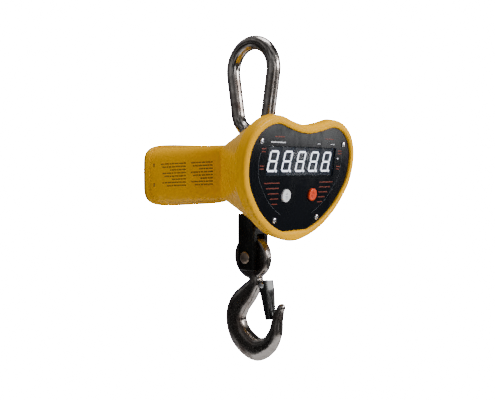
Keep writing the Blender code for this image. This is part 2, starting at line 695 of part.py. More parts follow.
def make_ring():
    """Two arcs joined by their outer tangents, swept with a round bar, on a turned neck."""
    radius = RING_BAR / 2
    top_centre = radius - RING_TOP_RADIUS
    foot_centre = EYE_FOOT - radius + RING_FOOT_RADIUS
    lean = math.asin((RING_TOP_RADIUS - RING_FOOT_RADIUS) / (top_centre - foot_centre))
    path = []
    for i in range(13):
        turn = -lean + (math.pi + 2 * lean) * i / 12
        path.append((RING_TOP_RADIUS * math.cos(turn), top_centre + RING_TOP_RADIUS * math.sin(turn)))
    for i in range(11):
        turn = math.pi + lean + (math.pi - 2 * lean) * i / 10
        path.append((RING_FOOT_RADIUS * math.cos(turn), foot_centre + RING_FOOT_RADIUS * math.sin(turn)))
    rings = []
    count = len(path)
    for i, (y, z) in enumerate(path):
        before, after = path[i - 1], path[(i + 1) % count]
        along = Vector((0.0, after[0] - before[0], after[1] - before[1])).normalized()
        side = along.cross(Vector((1.0, 0.0, 0.0)))
        ring = []
        for k in range(16):
            turn = math.tau * k / 16
            offset = side * (radius * math.cos(turn)) + Vector((radius * math.sin(turn), 0.0, 0.0))
            ring.append((offset.x, y + offset.y, z + offset.z))
        rings.append(ring)
    ring_piece = add("lifting_ring", loft(rings, loop=True), "plated_steel")
    neck = [
        (RING_NECK_RADIUS, RING_NECK_END),
        (RING_NECK_RADIUS, RING_NECK_TOP - 0.0120),
        (RING_NECK_RADIUS - 0.0030, RING_NECK_TOP - 0.0040),
        (RING_NECK_RADIUS - 0.0110, RING_NECK_TOP),
    ]
    join(ring_piece, "ring_neck", turned(neck))
    thread = rod(STUD_RADIUS + GAP, RING_NECK_END - 0.0100, RING_NECK_END + RING_THREAD_DEPTH)
    cut(ring_piece, "ring_thread", thread)


def make_load_train():
    """Bracket, load cell and studs. Returns the height at which the fork's neck ends."""
    bracket_top = RING_NECK_END - GAP
    bracket_end = bracket_top - BRACKET_THICKNESS
    cell_top = bracket_end - GAP
    cell_end = cell_top - CELL_HEIGHT
    cell_middle = (cell_top + cell_end) / 2
    low = (-BRACKET_SCREW_X - 0.0060, -BRACKET_HALF_DEPTH, bracket_end)
    high = (BRACKET_SCREW_X + 0.0060, BRACKET_HALF_DEPTH, bracket_top)
    bracket = add("cell_bracket", block(low, high), "zinc_steel", round_piece=False)
    through = (bracket_end - 0.0100, bracket_top + 0.0100)
    cut(bracket, "bracket_bore", rod(STUD_RADIUS + GAP, *through))
    for number, side in enumerate((-1, 1), 1):
        place = (side * BRACKET_SCREW_X, 0.0, 0.0)
        cut(bracket, f"bracket_hole_{number}", rod(BOLT_RADIUS + GAP, *through, place, "Z", 12))
        head = bracket_end - GAP
        profile = [
            (0.0030, head - 0.0028),
            (0.0038, head - 0.0018),
            (0.0038, head),
            (BOLT_RADIUS, head),
            (BOLT_RADIUS, RING_NECK_END + 0.0055),
        ]
        add(f"bracket_screw_{number}", turned(profile, place, "Z", 12), "zinc_steel")
    half = CELL_WIDTH / 2
    cell_low, cell_high = (-half, -CELL_DEPTH / 2, cell_end), (half, CELL_DEPTH / 2, cell_top)
    cell = add("load_cell", block(cell_low, cell_high), "aluminium", round_piece=False)
    arm = CELL_ARM
    for number, side in enumerate((-1, 1), 1):
        height = cell_middle + side * (CELL_HEIGHT / 2 - arm)
        reach = sorted((side * (half + 0.01), -side * (half - 0.0100)))
        slot_low = (reach[0], -0.05, height - CELL_SLOT / 2)
        slot_high = (reach[1], 0.05, height + CELL_SLOT / 2)
        cut(cell, f"cell_slot_{number}", block(slot_low, slot_high))
        bore_end = cell_top + 0.01 if side > 0 else cell_end - 0.01
        bore_start = bore_end - side * (0.01 + arm - 0.0040)
        cut(cell, f"cell_bore_{number}", rod(STUD_RADIUS + GAP, *sorted((bore_start, bore_end))))
    window = rod(CELL_WINDOW_RADIUS, -0.05, 0.05, (0.0, 0.0, cell_middle), "Y", 24)
    cut(cell, "cell_window", window)
    stud_top = RING_NECK_END + RING_THREAD_DEPTH - 0.0010
    add("upper_stud", rod(STUD_RADIUS, cell_top - arm + 0.0050, stud_top, edge=0.001), "zinc_steel")
    nut_top = cell_end - GAP
    nut_end = nut_top - LOCK_NUT_HEIGHT
    add("lock_nut", nut(STUD_RADIUS + GAP, 0.0290, nut_end, nut_top), "zinc_steel", round_piece=False)
    neck_top = nut_end - GAP
    add("lower_stud", rod(STUD_RADIUS, neck_top - 0.0200, cell_end + arm - 0.0050, edge=0.001), "zinc_steel")
    cable_route = [
        (half + GAP + 0.0002, 0.0060, cell_middle - 0.0060),
        (half + 0.0060, 0.0080, cell_middle - 0.0060),
        (half + 0.0080, 0.0200, cell_middle - 0.0050),
        (half + 0.0060, 0.0350, cell_middle - 0.0020),
        (half + 0.0060, 0.0480, cell_middle),
        (half + 0.0060, BOARD_Y - GAP - 0.0003, cell_middle),
    ]
    add_cable("load_cell_cable", cable_route, 0.0018)
    return neck_top


def add_cable(name, route, radius):
    """A round cable along a smooth route."""
    points = smooth_path(route, 4)
    curve = bpy.data.curves.new(name, "CURVE")
    curve.dimensions = "3D"
    curve.bevel_depth = radius
    curve.bevel_resolution = 2
    curve.use_fill_caps = True
    spline = curve.splines.new("POLY")
    spline.points.add(len(points) - 1)
    for point, place in zip(spline.points, points):
        point.co = (*place, 1.0)
    cable = bpy.data.objects.new(name, curve)
    bpy.context.scene.collection.objects.link(cable)
    curve.materials.append(material(name, "rubber"))


RING_SLEEVE = (RING_SLEEVE_OUTER, RING_NECK_END + 0.0110, -0.21, 0.0022, -0.0075, RING_NECK_END)
FORK_SLEEVE = (FORK_SLEEVE_OUTER, FORK_TOP + 0.0075, 0.52, 0.0080, -0.0028, FORK_TOP + 0.0010)


def make_sleeves():
    """Rubber sleeves that seal ring and fork in the housing, their ends cut to the slope of the shell.

    Each is (outer radius, height on the axis, slope, top above it, foot below it, lowest height).
    """
    for name, sizes in (("ring_sleeve", RING_SLEEVE), ("fork_sleeve", FORK_SLEEVE)):
        outer, middle, slope, above, below, lowest = sizes
        inner = outer - SLEEVE_WALL
        rings = []
        for radius, level in ((inner, above), (outer, above), (outer, below), (inner, below)):
            ring = []
            for i in range(SIDES):
                turn = math.tau * i / SIDES
                x, y = radius * math.cos(turn), radius * math.sin(turn)
                ring.append((x, y, max(middle + slope * y + level, lowest)))
            rings.append(ring)
        add(name, loft(rings, loop=True), "rubber")


def make_fork(neck_top):
    half_x, half_y = FORK_WIDTH / 2, FORK_DEPTH / 2
    fork = add("hook_fork", block((-half_x, -half_y, FORK_END), (half_x, half_y, FORK_TOP)), "black_paint")
    round_edges(fork, FORK_EDGE)
    join(fork, "fork_neck", rod(FORK_NECK_RADIUS, FORK_TOP - 0.0100, neck_top, edge=0.0010))
    slot = FORK_WIDTH / 2 - FORK_CHEEK
    slot_top = PIN_Z + HOOK_EYE_RADIUS + 0.0025
    cut(fork, "fork_slot", block((-slot, -0.05, FORK_END - 0.01), (slot, 0.05, slot_top)))
    cut(fork, "fork_pin_hole", rod(PIN_RADIUS + GAP, -0.05, 0.05, (0.0, 0.0, PIN_Z), "X"))
    cut(fork, "fork_thread", rod(STUD_RADIUS + GAP, neck_top - 0.0210, neck_top + 0.01))
    side = half_x + GAP
    pin = [
        (0.0030, -side - 0.0034),
        (0.0066, -side - 0.0026),
        (0.0088, -side - 0.0008),
        (0.0092, -side),
        (PIN_RADIUS, -side),
        (PIN_RADIUS, side + 0.0080),
        (PIN_RADIUS - 0.0010, side + 0.0090),
    ]
    add("hook_pin", turned(pin, (0.0, 0.0, PIN_Z), "X", 24), "pin_steel")
    pin_nut = nut(PIN_RADIUS + GAP, 0.0240, side, side + 0.0066, (0.0, 0.0, PIN_Z), "X")
    add("pin_nut", pin_nut, "zinc_steel", round_piece=False)


# Hook centreline: (y, height from the pin, width in the hook's plane, thickness along X)
HOOK_STATIONS = [
    (-0.0030, -0.0230, 0.0260, 0.0140),
    (-0.0055, -0.0380, 0.0215, 0.0190),
    (0.0090, -0.0560, 0.0315, 0.0200),
    (0.0290, -0.0770, 0.0370, 0.0215),
    (0.0363, -0.1010, 0.0365, 0.0220),
    (0.0240, -0.1270, 0.0395, 0.0230),
    (-0.0060, -0.1415, 0.0370, 0.0235),
    (-0.0325, -0.1310, 0.0275, 0.0220),
    (-0.0462, -0.1105, 0.0205, 0.0190),
    (-0.0500, -0.0910, 0.0165, 0.0160),
    (-0.0548, -0.0760, 0.0125, 0.0130),
    (-0.0585, -0.0685, 0.0105, 0.0110),
    (-0.0600, -0.0655, 0.0050, 0.0060),
]


def make_hook():
    stations = smooth_path(HOOK_STATIONS, 2)
    rings = []
    for i, (y, z, width, thick) in enumerate(stations):
        before, after = stations[max(i - 1, 0)], stations[min(i + 1, len(stations) - 1)]
        along = Vector((after[0] - before[0], after[1] - before[1])).normalized()
        ring = []
        for k in range(16):
            turn = math.tau * k / 16
            power = 2 / 2.7
            c, s = math.cos(turn), math.sin(turn)
            across = math.copysign(abs(c) ** power, c) * width / 2
            out = math.copysign(abs(s) ** power, s) * thick / 2
            ring.append((out, y - along.y * across, PIN_Z + z + along.x * across))
        rings.append(ring)
    origin = (0.0, 0.0, PIN_Z)
    hook = add("hook", loft(rings), "plated_steel", origin)
    half = HOOK_EYE_WIDTH / 2
    eye = [
        (HOOK_EYE_RADIUS - 0.0035, -half),
        (HOOK_EYE_RADIUS - 0.0008, -half + 0.0016),
        (HOOK_EYE_RADIUS, -half + 0.0045),
        (HOOK_EYE_RADIUS, half - 0.0045),
        (HOOK_EYE_RADIUS - 0.0008, half - 0.0016),
        (HOOK_EYE_RADIUS - 0.0035, half),
    ]
    join(hook, "hook_eye", turned(eye, origin, "X"))
    latch_place = (0.0, LATCH_PIN_Y, LATCH_PIN_Z)
    ear = LATCH_EAR_WIDTH / 2
    join(hook, "latch_ear", rod(LATCH_EAR_RADIUS, -ear, ear, latch_place, "X", 20))
    root_low = (-ear, LATCH_PIN_Y, LATCH_PIN_Z - LATCH_EAR_RADIUS * 0.85)
    root_high = (ear, -0.0080, LATCH_PIN_Z + LATCH_EAR_RADIUS * 0.85)
    join(hook, "latch_ear_root", block(root_low, root_high))
    cut(hook, "hook_bore", rod(PIN_RADIUS + GAP, -0.05, 0.05, origin, "X"))
    cut(hook, "latch_bore", rod(LATCH_PIN_RADIUS + SLIP, -0.05, 0.05, latch_place, "X", 16))


def latch_point(x, along, outward):
    """A place on the closed latch: along it from its pin, and outward to the tip's side."""
    down = (-math.sin(LATCH_LEAN), -math.cos(LATCH_LEAN))
    out = (-math.cos(LATCH_LEAN), math.sin(LATCH_LEAN))
    return (
        x,
        LATCH_PIN_Y + down[0] * along + out[0] * outward,
        LATCH_PIN_Z + down[1] * along + out[1] * outward,
    )


def make_latch():
    """A channel of bent sheet: two legs on the pin and a web that bears on the inside of the tip."""
    half, sheet = LATCH_WIDTH / 2, LATCH_SHEET
    web = LATCH_EAR_RADIUS + GAP + LATCH_SHEET
    stations = [
        (-0.0058, web + 0.0002, half),
        (0.0080, web + 0.0002, half),
        (0.0300, web - 0.0012, half),
        (LATCH_LENGTH, web - 0.0036, half - 0.0016),
    ]
    rings = []
    for along, outward, wide in stations:
        foot = -0.0052 if along < 0.0200 else -0.0030
        section = [
            (-wide, foot),
            (-wide, outward),
            (wide, outward),
            (wide, foot),
            (wide - sheet, foot),
            (wide - sheet, outward - sheet),
            (-wide + sheet, outward - sheet),
            (-wide + sheet, foot),
        ]
        rings.append([latch_point(x, along, out) for x, out in section])
    origin = (0.0, LATCH_PIN_Y, LATCH_PIN_Z)
    latch = add("latch", loft(rings), "black_paint", origin, round_piece=False)
    cut(latch, "latch_hole", rod(LATCH_PIN_RADIUS + SLIP, -0.05, 0.05, origin, "X", 16))
    end = half + GAP
    rivet = [
        (0.0022, -end - 0.0018),
        (0.0040, -end - 0.0010),
        (0.0044, -end),
        (LATCH_PIN_RADIUS, -end),
        (LATCH_PIN_RADIUS, end),
        (0.0044, end),
        (0.0040, end + 0.0010),
        (0.0022, end + 0.0018),
    ]
    add("latch_rivet", turned(rivet, origin, "X", 16), "zinc_steel", origin)
    add_spring(origin)


def add_spring(centre):
    """A torsion spring coiled round the rivet, between the ear and the near leg."""
    wire, radius = 0.00045, 0.0037
    start = -LATCH_EAR_WIDTH / 2 - GAP - wire
    end = -LATCH_WIDTH / 2 + LATCH_SHEET + GAP + wire
    steps, total = 12, 31
    pitch = (start - end) * steps / total
    rings = []
    for i in range(total + 1):
        turn = math.tau * i / steps
        centre_point = Vector((start - pitch * i / steps, radius * math.cos(turn), radius * math.sin(turn)))
        outward = Vector((0.0, math.cos(turn), math.sin(turn)))
        side = Vector((1.0, 0.0, 0.0))
        ring = []
        for k in range(6):
            angle = math.tau * k / 6
            place = centre_point + outward * (wire * math.cos(angle)) + side * (wire * math.sin(angle))
            ring.append(tuple(place + Vector(centre)))
        rings.append(ring)
    add("latch_spring", loft(rings), "zinc_steel", centre)


def make_electronics():
    """Main board on four posts in front of the battery tray, and the battery in the tray."""
    wide, deep, high = BATTERY_SIZE
    battery_low = (-wide / 2, BATTERY_Y - deep / 2, REAR_MIDDLE - high / 2 + 0.0010)
    battery_high = (wide / 2, BATTERY_Y + deep / 2, REAR_MIDDLE + high / 2 + 0.0010)
    battery = add("battery", block(battery_low, battery_high), "battery_case", round_piece=False)
    round_edges(battery, 0.0020, 1)
    sheet = TRAY_SHEET
    tray_front = battery_low[1] - GAP - sheet
    tray_floor = battery_low[2] - GAP - sheet
    tray_end = REAR_Y + GASKET + GAP
    profile = [
        (tray_front, battery_high[2] - 0.0100),
        (tray_front, tray_floor),
        (tray_end, tray_floor),
        (tray_end, tray_floor + sheet),
        (tray_front + sheet, tray_floor + sheet),
        (tray_front + sheet, battery_high[2] - 0.0100),
    ]
    share = (tray_front - REAR_START) / (REAR_Y - REAR_START)
    inner_half = (WAIST_HALF_WIDTH - WALL) * (1 - share) + (REAR_HALF_WIDTH - WALL) * share
    half = inner_half - TRAY_SIDE_ROOM
    rings = [[(x, y, z) for y, z in profile] for x in (-half, half)]
    add("battery_tray", loft(rings), "zinc_steel", round_piece=False)
    board_low = (-0.0420, BOARD_Y, REAR_MIDDLE - 0.0260)
    board_high = (0.0420, BOARD_Y + BOARD_THICKNESS, REAR_MIDDLE + 0.0240)
    add("main_board", block(board_low, board_high), "circuit_board", round_piece=False)
    post_start, post_end = board_high[1] + GAP, tray_front - GAP
    corners = [(x, z) for x in (-0.0370, 0.0370) for z in (-0.0210, 0.0190)]
    for number, (x, z) in enumerate(corners, 1):
        post = rod(0.0025, post_start, post_end, (x, 0.0, REAR_MIDDLE + z), "Y", 6)
        add(f"board_post_{number}", post, "zinc_steel", round_piece=False)


def main():
    make_front_shell()
    make_rear_shell()
    face = make_joints_of_housing()
    make_rear_fittings(face)
    make_display()
    make_ring()
    neck_top = make_load_train()
    make_sleeves()
    make_fork(neck_top)
    make_hook()
    make_latch()
    make_electronics()


clear_scene()
DISPLAY = bpy.data.objects.new("display_frame", None)
bpy.context.scene.collection.objects.link(DISPLAY)
DISPLAY.matrix_world = Matrix.Translation((0.0, FACE_Y, FACE_Z)) @ Matrix.Rotation(TILT, 4, "X")
main()
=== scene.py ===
"""The looks of a crane scale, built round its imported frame: fine casings, forgings, display and finishes."""

import math

import bmesh
import bpy
from mathutils import Matrix, Vector


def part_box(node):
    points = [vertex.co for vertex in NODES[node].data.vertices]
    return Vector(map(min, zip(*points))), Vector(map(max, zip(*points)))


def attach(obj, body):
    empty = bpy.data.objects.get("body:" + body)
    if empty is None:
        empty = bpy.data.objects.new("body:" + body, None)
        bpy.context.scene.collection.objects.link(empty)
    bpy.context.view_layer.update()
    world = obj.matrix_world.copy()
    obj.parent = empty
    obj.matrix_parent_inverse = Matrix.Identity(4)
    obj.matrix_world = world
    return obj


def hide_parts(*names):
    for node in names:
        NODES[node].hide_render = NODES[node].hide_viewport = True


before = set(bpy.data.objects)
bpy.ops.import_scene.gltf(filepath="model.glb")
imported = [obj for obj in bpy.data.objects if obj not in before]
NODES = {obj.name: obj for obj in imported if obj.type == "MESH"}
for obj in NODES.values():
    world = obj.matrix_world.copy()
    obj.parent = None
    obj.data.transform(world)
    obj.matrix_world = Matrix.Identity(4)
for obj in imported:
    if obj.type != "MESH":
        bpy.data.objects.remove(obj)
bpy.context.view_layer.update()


# Shading

class Value:
    """One socket of a material, so that maths on it reads as an expression."""

    def __init__(self, paint, socket):
        self.paint = paint
        self.socket = socket

    def maths(self, operation, first, second):
        return self.paint.node("ShaderNodeMath", {"operation": operation}, {0: first, 1: second})

    def __add__(self, other):
        return self.maths("ADD", self, other)

    __radd__ = __add__

    def __rsub__(self, other):
        return self.maths("SUBTRACT", other, self)

    def __mul__(self, other):
        return self.maths("MULTIPLY", self, other)

    __rmul__ = __mul__


class Paint:
    """The nodes of one finish, round its Principled shader."""

    def __init__(self, name):
        self.material = bpy.data.materials.new(name)
        self.material.use_nodes = True
        self.tree = self.material.node_tree
        self.shader = self.tree.nodes["Principled BSDF"]
        self.place = self.node("ShaderNodeTexCoord", {}, {}, "Object")

    def node(self, kind, settings, inputs, output=0):
        made = self.tree.nodes.new(kind)
        for key, value in settings.items():
            if key == "stops":
                self.set_stops(made.color_ramp, value)
            else:
                setattr(made, key, value)
        for key, value in inputs.items():
            self.feed(made.inputs[key], value)
        return Value(self, made.outputs[output])

    def feed(self, socket, value):
        if isinstance(value, Value):
            self.tree.links.new(value.socket, socket)
        elif isinstance(value, tuple) and len(value) == 3 and socket.type == "RGBA":
            socket.default_value = (*value, 1.0)
        else:
            socket.default_value = value

    @staticmethod
    def set_stops(ramp, stops):
        while len(ramp.elements) < len(stops):
            ramp.elements.new(1.0)
        for element, (position, level) in zip(ramp.elements, stops):
            element.position = position
            element.color = (level, level, level, 1.0)

    def noise(self, scale, detail=4.0, roughness=0.55, place=None):
        where = place or self.place
        inputs = {"Vector": where, "Scale": scale, "Detail": detail, "Roughness": roughness}
        return self.node("ShaderNodeTexNoise", {}, inputs, "Fac")

    def stretched(self, factors):
        """The place coordinates with each axis scaled by its factor."""
        return self.node("ShaderNodeVectorMath", {"operation": "MULTIPLY"}, {0: self.place, 1: factors})

    def cells(self, scale):
        return self.node("ShaderNodeTexVoronoi", {}, {"Vector": self.place, "Scale": scale}, "Distance")

    def ramp(self, value, stops):
        return self.node("ShaderNodeValToRGB", {"stops": stops}, {"Fac": value}, "Color")

    def blend(self, share, first, second):
        """A Mix node on colours: sockets 0, 6 and 7 are its factor and colours, and 2 its result."""
        return self.node("ShaderNodeMix", {"data_type": "RGBA"}, {0: share, 6: first, 7: second}, 2)

    def bump(self, height, distance, strength=1.0, under=None):
        inputs = {"Height": height, "Distance": distance, "Strength": strength}
        if under is not None:
            inputs["Normal"] = under
        return self.node("ShaderNodeBump", {}, inputs, "Normal")

    def finish(self, **sockets):
        for key, value in sockets.items():
            self.feed(self.shader.inputs[key.replace("_", " ")], value)
        return self.material


class Room(Paint):
    """The nodes of the studio's surroundings, round its output."""

    def __init__(self, world):
        world.use_nodes = True
        self.tree = world.node_tree
        self.tree.nodes.clear()
        self.surface = self.tree.nodes.new("ShaderNodeOutputWorld").inputs["Surface"]


def gloss_enamel(name, colour, deep, dust, gloss, coat):
    """Baked enamel: a slow drift of colour, orange peel, and a thin film of dust that dulls it in places."""
    p = Paint(name)
    drift = p.noise(9.0, 3.0)
    base = p.blend(drift, colour, deep)
    dull = p.ramp(p.noise(28.0, 6.0, 0.7), [(0.45, 0.0), (0.75, 1.0)])
    base = p.blend(dull * dust, base, (0.62, 0.55, 0.42))
    peel = p.noise(420.0, 2.0)
    specks = p.ramp(p.cells(160.0), [(0.0, 1.0), (0.06, 0.0)])
    normal = p.bump(peel, 0.00025, 0.25)
    normal = p.bump(specks, 0.0002, 0.3, normal)
    return p.finish(
        Base_Color=base,
        Roughness=0.22 + dull * 0.16 + peel * 0.04,
        Metallic=0.0,
        Specular_IOR_Level=gloss,
        Coat_Weight=coat,
        Coat_Roughness=0.06,
        Normal=normal,
    )


def forged_plate(name, light, dark, pits):
    """Plated forging: dark brown reflections painted into its colour in random clouds, where the polish is
    also rougher, and small pits.
    """
    p = Paint(name)
    cloud = p.noise(26.0, 5.0, 0.62)
    # Painted reflection: dark brown clouds in the base colour stand in for the dark surroundings that the
    # plating mirrors.
    painted_reflection = p.ramp(cloud, [(0.40, 0.0), (0.66, 1.0)])
    fine = p.noise(240.0, 4.0, 0.6)
    freckle = p.ramp(p.cells(330.0), [(0.0, 1.0), (0.22, 0.0)])
    spots = freckle * p.ramp(p.noise(60.0, 3.0), [(0.5, 0.0), (0.62, 1.0)])
    base = p.blend(painted_reflection, light, dark)
    base = p.blend(spots * pits, base, (0.07, 0.05, 0.045))
    normal = p.bump(p.noise(34.0, 3.0), 0.0022, 0.30)
    normal = p.bump(fine, 0.00035, 0.25, normal)
    normal = p.bump(1.0 - spots, 0.0003, 0.5, normal)
    return p.finish(
        Base_Color=base,
        Roughness=0.13 + painted_reflection * 0.13 + fine * 0.08,
        Metallic=1.0,
        Normal=normal,
    )


def brushed_metal(name, light, dark, roughness):
    """Turned or rolled metal with fine lines and a cloudy passivated film."""
    p = Paint(name)
    lines = p.noise(900.0, 2.0, 0.5, p.stretched((1.0, 0.12, 1.0)))
    film = p.noise(70.0, 4.0)
    base = p.blend(film, light, dark)
    normal = p.bump(lines, 0.00012, 0.35)
    return p.finish(Base_Color=base, Roughness=roughness + lines * 0.12, Metallic=1.0, Normal=normal)


def moulded(name, colour, deep, roughness, grain, depth):
    """Moulded plastic or rubber with a spark-eroded grain."""
    p = Paint(name)
    drift = p.noise(40.0, 4.0)
    base = p.blend(drift, colour, deep)
    texture = p.noise(grain, 3.0, 0.6)
    normal = p.bump(texture, depth, 0.5)
    return p.finish(Base_Color=base, Roughness=roughness + drift * 0.12, Metallic=0.0, Normal=normal)


def printed_film(name):
    """Glossy back-printed film: near black, slightly bluer in the lower part, with faint handling marks."""
    p = Paint(name)
    smear = p.ramp(p.noise(35.0, 5.0, 0.65, p.stretched((1.0, 1.0, 0.35))), [(0.48, 0.0), (0.72, 1.0)])
    base = p.blend(p.noise(8.0, 2.0), (0.0012, 0.0018, 0.0036), (0.0020, 0.0030, 0.0060))
    normal = p.bump(p.noise(700.0, 2.0), 0.00008, 0.3)
    return p.finish(
        Base_Color=base,
        Roughness=0.16 + smear * 0.20,
        Metallic=0.0,
        Specular_IOR_Level=0.16,
        Normal=normal,
    )


def smoked_window(name):
    p = Paint(name)
    smear = p.noise(45.0, 4.0)
    return p.finish(
        Base_Color=p.blend(smear, (0.012, 0.016, 0.026), (0.020, 0.026, 0.038)),
        Roughness=0.06 + smear * 0.10,
        Alpha=0.20 + smear * 0.06,
        Normal=p.bump(p.noise(500.0, 2.0), 0.00005, 0.3),
    )


def lit_segment(name):
    """White segment, a little brighter towards its middle, where the light source sits."""
    p = Paint(name)
    glow = p.noise(120.0, 2.0)
    return p.finish(
        Base_Color=(0.8, 0.85, 0.9),
        Roughness=0.35 + glow * 0.1,
        Emission_Color=p.blend(glow, (0.93, 0.96, 1.0), (0.80, 0.88, 1.0)),
        Emission_Strength=4.2,
    )


def printed_ink(name, colour, worn, wear=0.5):
    """Screen print with a slightly uneven lay of ink."""
    p = Paint(name)
    patch = p.ramp(p.noise(260.0, 4.0, 0.7), [(0.45, 0.0), (0.8, 1.0)])
    return p.finish(
        Base_Color=p.blend(patch * wear, colour, worn),
        Roughness=0.42 + patch * 0.2,
        Normal=p.bump(p.noise(900.0, 2.0), 0.00004, 0.4),
    )


def circuit(name):
    """Green board: solder mask with lighter copper tracks under it."""
    p = Paint(name)
    bricks = p.node("ShaderNodeTexBrick", {}, {"Vector": p.place, "Scale": 120.0}, "Fac")
    tracks = p.ramp(bricks, [(0.4, 0.0), (0.6, 1.0)])
    return p.finish(
        Base_Color=p.blend(tracks, (0.012, 0.110, 0.045), (0.030, 0.210, 0.080)),
        Roughness=0.35 + tracks * 0.1,
        Normal=p.bump(tracks, 0.00006, 0.5),
    )


YELLOW = gloss_enamel("yellow_enamel", (0.98, 0.50, 0.0), (0.95, 0.45, 0.0), 0.008, 0.08, 0.02)
# The forging's dark colour is painted reflection, laid in random clouds.
FORGED = forged_plate("forged_plating", (0.50, 0.47, 0.45), (0.13, 0.10, 0.088), 0.8)
BLACK = gloss_enamel("black_enamel", (0.002, 0.002, 0.002), (0.004, 0.004, 0.004), 0.003, 0.26, 0.10)
LATCH_BLACK = gloss_enamel("latch_enamel", (0.006, 0.007, 0.008), (0.010, 0.011, 0.012), 0.003, 0.75, 0.80)
ZINC = brushed_metal("zinc_plating", (0.66, 0.67, 0.69), (0.50, 0.51, 0.54), 0.26)
CHROME = brushed_metal("screw_plating", (0.86, 0.86, 0.88), (0.72, 0.72, 0.76), 0.12)
# The pin's brown colour is painted reflection: the dark brown that its head mirrors is put into the metal's
# colour.
PIN_STEEL = brushed_metal("pin_painted_brown_reflection", (0.42, 0.34, 0.27), (0.24, 0.18, 0.14), 0.28)
SPRING_STEEL = brushed_metal("spring_wire", (0.55, 0.55, 0.58), (0.35, 0.35, 0.38), 0.22)
CELL_METAL = brushed_metal("milled_aluminium", (0.78, 0.79, 0.81), (0.66, 0.67, 0.70), 0.30)
FILM = printed_film("panel_film")
WINDOW = smoked_window("smoked_window")
MODULE = moulded("digit_face", (0.030, 0.040, 0.062), (0.040, 0.052, 0.078), 0.42, 800.0, 0.00005)
MODULE_EDGE = moulded("digit_edge", (0.070, 0.084, 0.110), (0.050, 0.060, 0.082), 0.40, 800.0, 0.00005)
SEGMENT = lit_segment("lit_segment")
WHITE_CAP = moulded("white_cap", (0.94, 0.95, 0.97), (0.88, 0.90, 0.94), 0.30, 900.0, 0.00006)
ORANGE_CAP = moulded("orange_cap", (0.84, 0.060, 0.004), (0.76, 0.048, 0.003), 0.30, 900.0, 0.00006)
RUBBER = moulded("seal_rubber", (0.020, 0.020, 0.021), (0.030, 0.030, 0.032), 0.62, 600.0, 0.0002)
NYLON = moulded("black_nylon", (0.018, 0.018, 0.020), (0.026, 0.026, 0.028), 0.38, 700.0, 0.00012)
CASE = moulded("battery_case", (0.050, 0.055, 0.065), (0.070, 0.075, 0.085), 0.45, 500.0, 0.0002)
BOARD = circuit("circuit_board")
RED_INK = printed_ink("red_marks", (0.200, 0.030, 0.016), (0.130, 0.022, 0.014))
WHITE_INK = printed_ink("white_marks", (0.75, 0.78, 0.84), (0.50, 0.53, 0.60))
GREY_INK = printed_ink("grey_marks", (0.085, 0.095, 0.115), (0.045, 0.050, 0.065))
LABEL_INK = printed_ink("flank_print", (0.30, 0.145, 0.012), (0.52, 0.27, 0.010), 0.9)
CAP_INK = printed_ink("cap_print", (0.34, 0.36, 0.42), (0.50, 0.52, 0.58))
CAP_DARK_INK = printed_ink("orange_cap_print", (0.36, 0.035, 0.012), (0.50, 0.050, 0.014))


# Geometry

def skin(rings, loop=False):
    """Faces through rings of equal length: closed on itself, or capped at both ends."""
    count = len(rings[0])
    points = [p for ring in rings for p in ring]
    faces = []
    for level in range(len(rings) if loop else len(rings) - 1):
        here = level * count
        there = (level + 1) % len(rings) * count
        for i in range(count):
            j = (i + 1) % count
            faces.append((here + i, here + j, there + j, there + i))
    if not loop:
        faces.append(tuple(range(count)))
        faces.append(tuple(range(len(points) - count, len(points))))
    return points, faces


def piece(name, shape, material, body="scale", nodes=(), sharp=32.0, facing=None):
    """A finished piece that rides on a body and stands for the given nodes."""
    points, faces = shape
    mesh = bpy.data.meshes.new(name)
    mesh.from_pydata([Vector(p) for p in points], [], faces)
    work = bmesh.new()
    work.from_mesh(mesh)
    bmesh.ops.recalc_face_normals(work, faces=work.faces)
    work.to_mesh(mesh)
    work.free()
    if facing is not None:
        mesh.transform(facing)
    mesh.materials.append(material)
    mesh.shade_smooth()
    mesh.set_sharp_from_angle(angle=math.radians(sharp))
    made = bpy.data.objects.new(name, mesh)
    bpy.context.scene.collection.objects.link(made)
    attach(made, body)
    if nodes:
        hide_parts(*nodes)
    return made


def turned(profile, centre=(0.0, 0.0, 0.0), axis="Z", sides=48, loop=False):
    order = {"Z": (0, 1, 2), "X": (1, 2, 0), "Y": (0, 2, 1)}[axis]
    rings = []
    for radius, height in profile:
        ring = []
        for i in range(sides):
            turn = math.tau * i / sides
            place = [0.0, 0.0, 0.0]
            for value, slot in zip((radius * math.cos(turn), radius * math.sin(turn), height), order):
                place[slot] = value + centre[slot]
            ring.append(tuple(place))
        rings.append(ring)
    return skin(rings, loop)


def bore(radius, reach, centre=(0.0, 0.0, 0.0), axis="Y", sides=24):
    """A plain round cutter, which runs along its axis from one end of `reach` to the other."""
    return turned([(radius, reach[0]), (radius, reach[1])], centre, axis, sides)


def disc(radius, sides):
    turns = [math.tau * i / sides for i in range(sides)]
    return [(radius * math.cos(turn), radius * math.sin(turn)) for turn in turns]


def arc(centre, radius, start, end, steps):
    """Points of (across, height) on an arc, angles in degrees."""
    result = []
    for i in range(steps + 1):
        turn = math.radians(start + (end - start) * i / steps)
        result.append((centre[0] + radius * math.cos(turn), centre[1] + radius * math.sin(turn)))
    return result


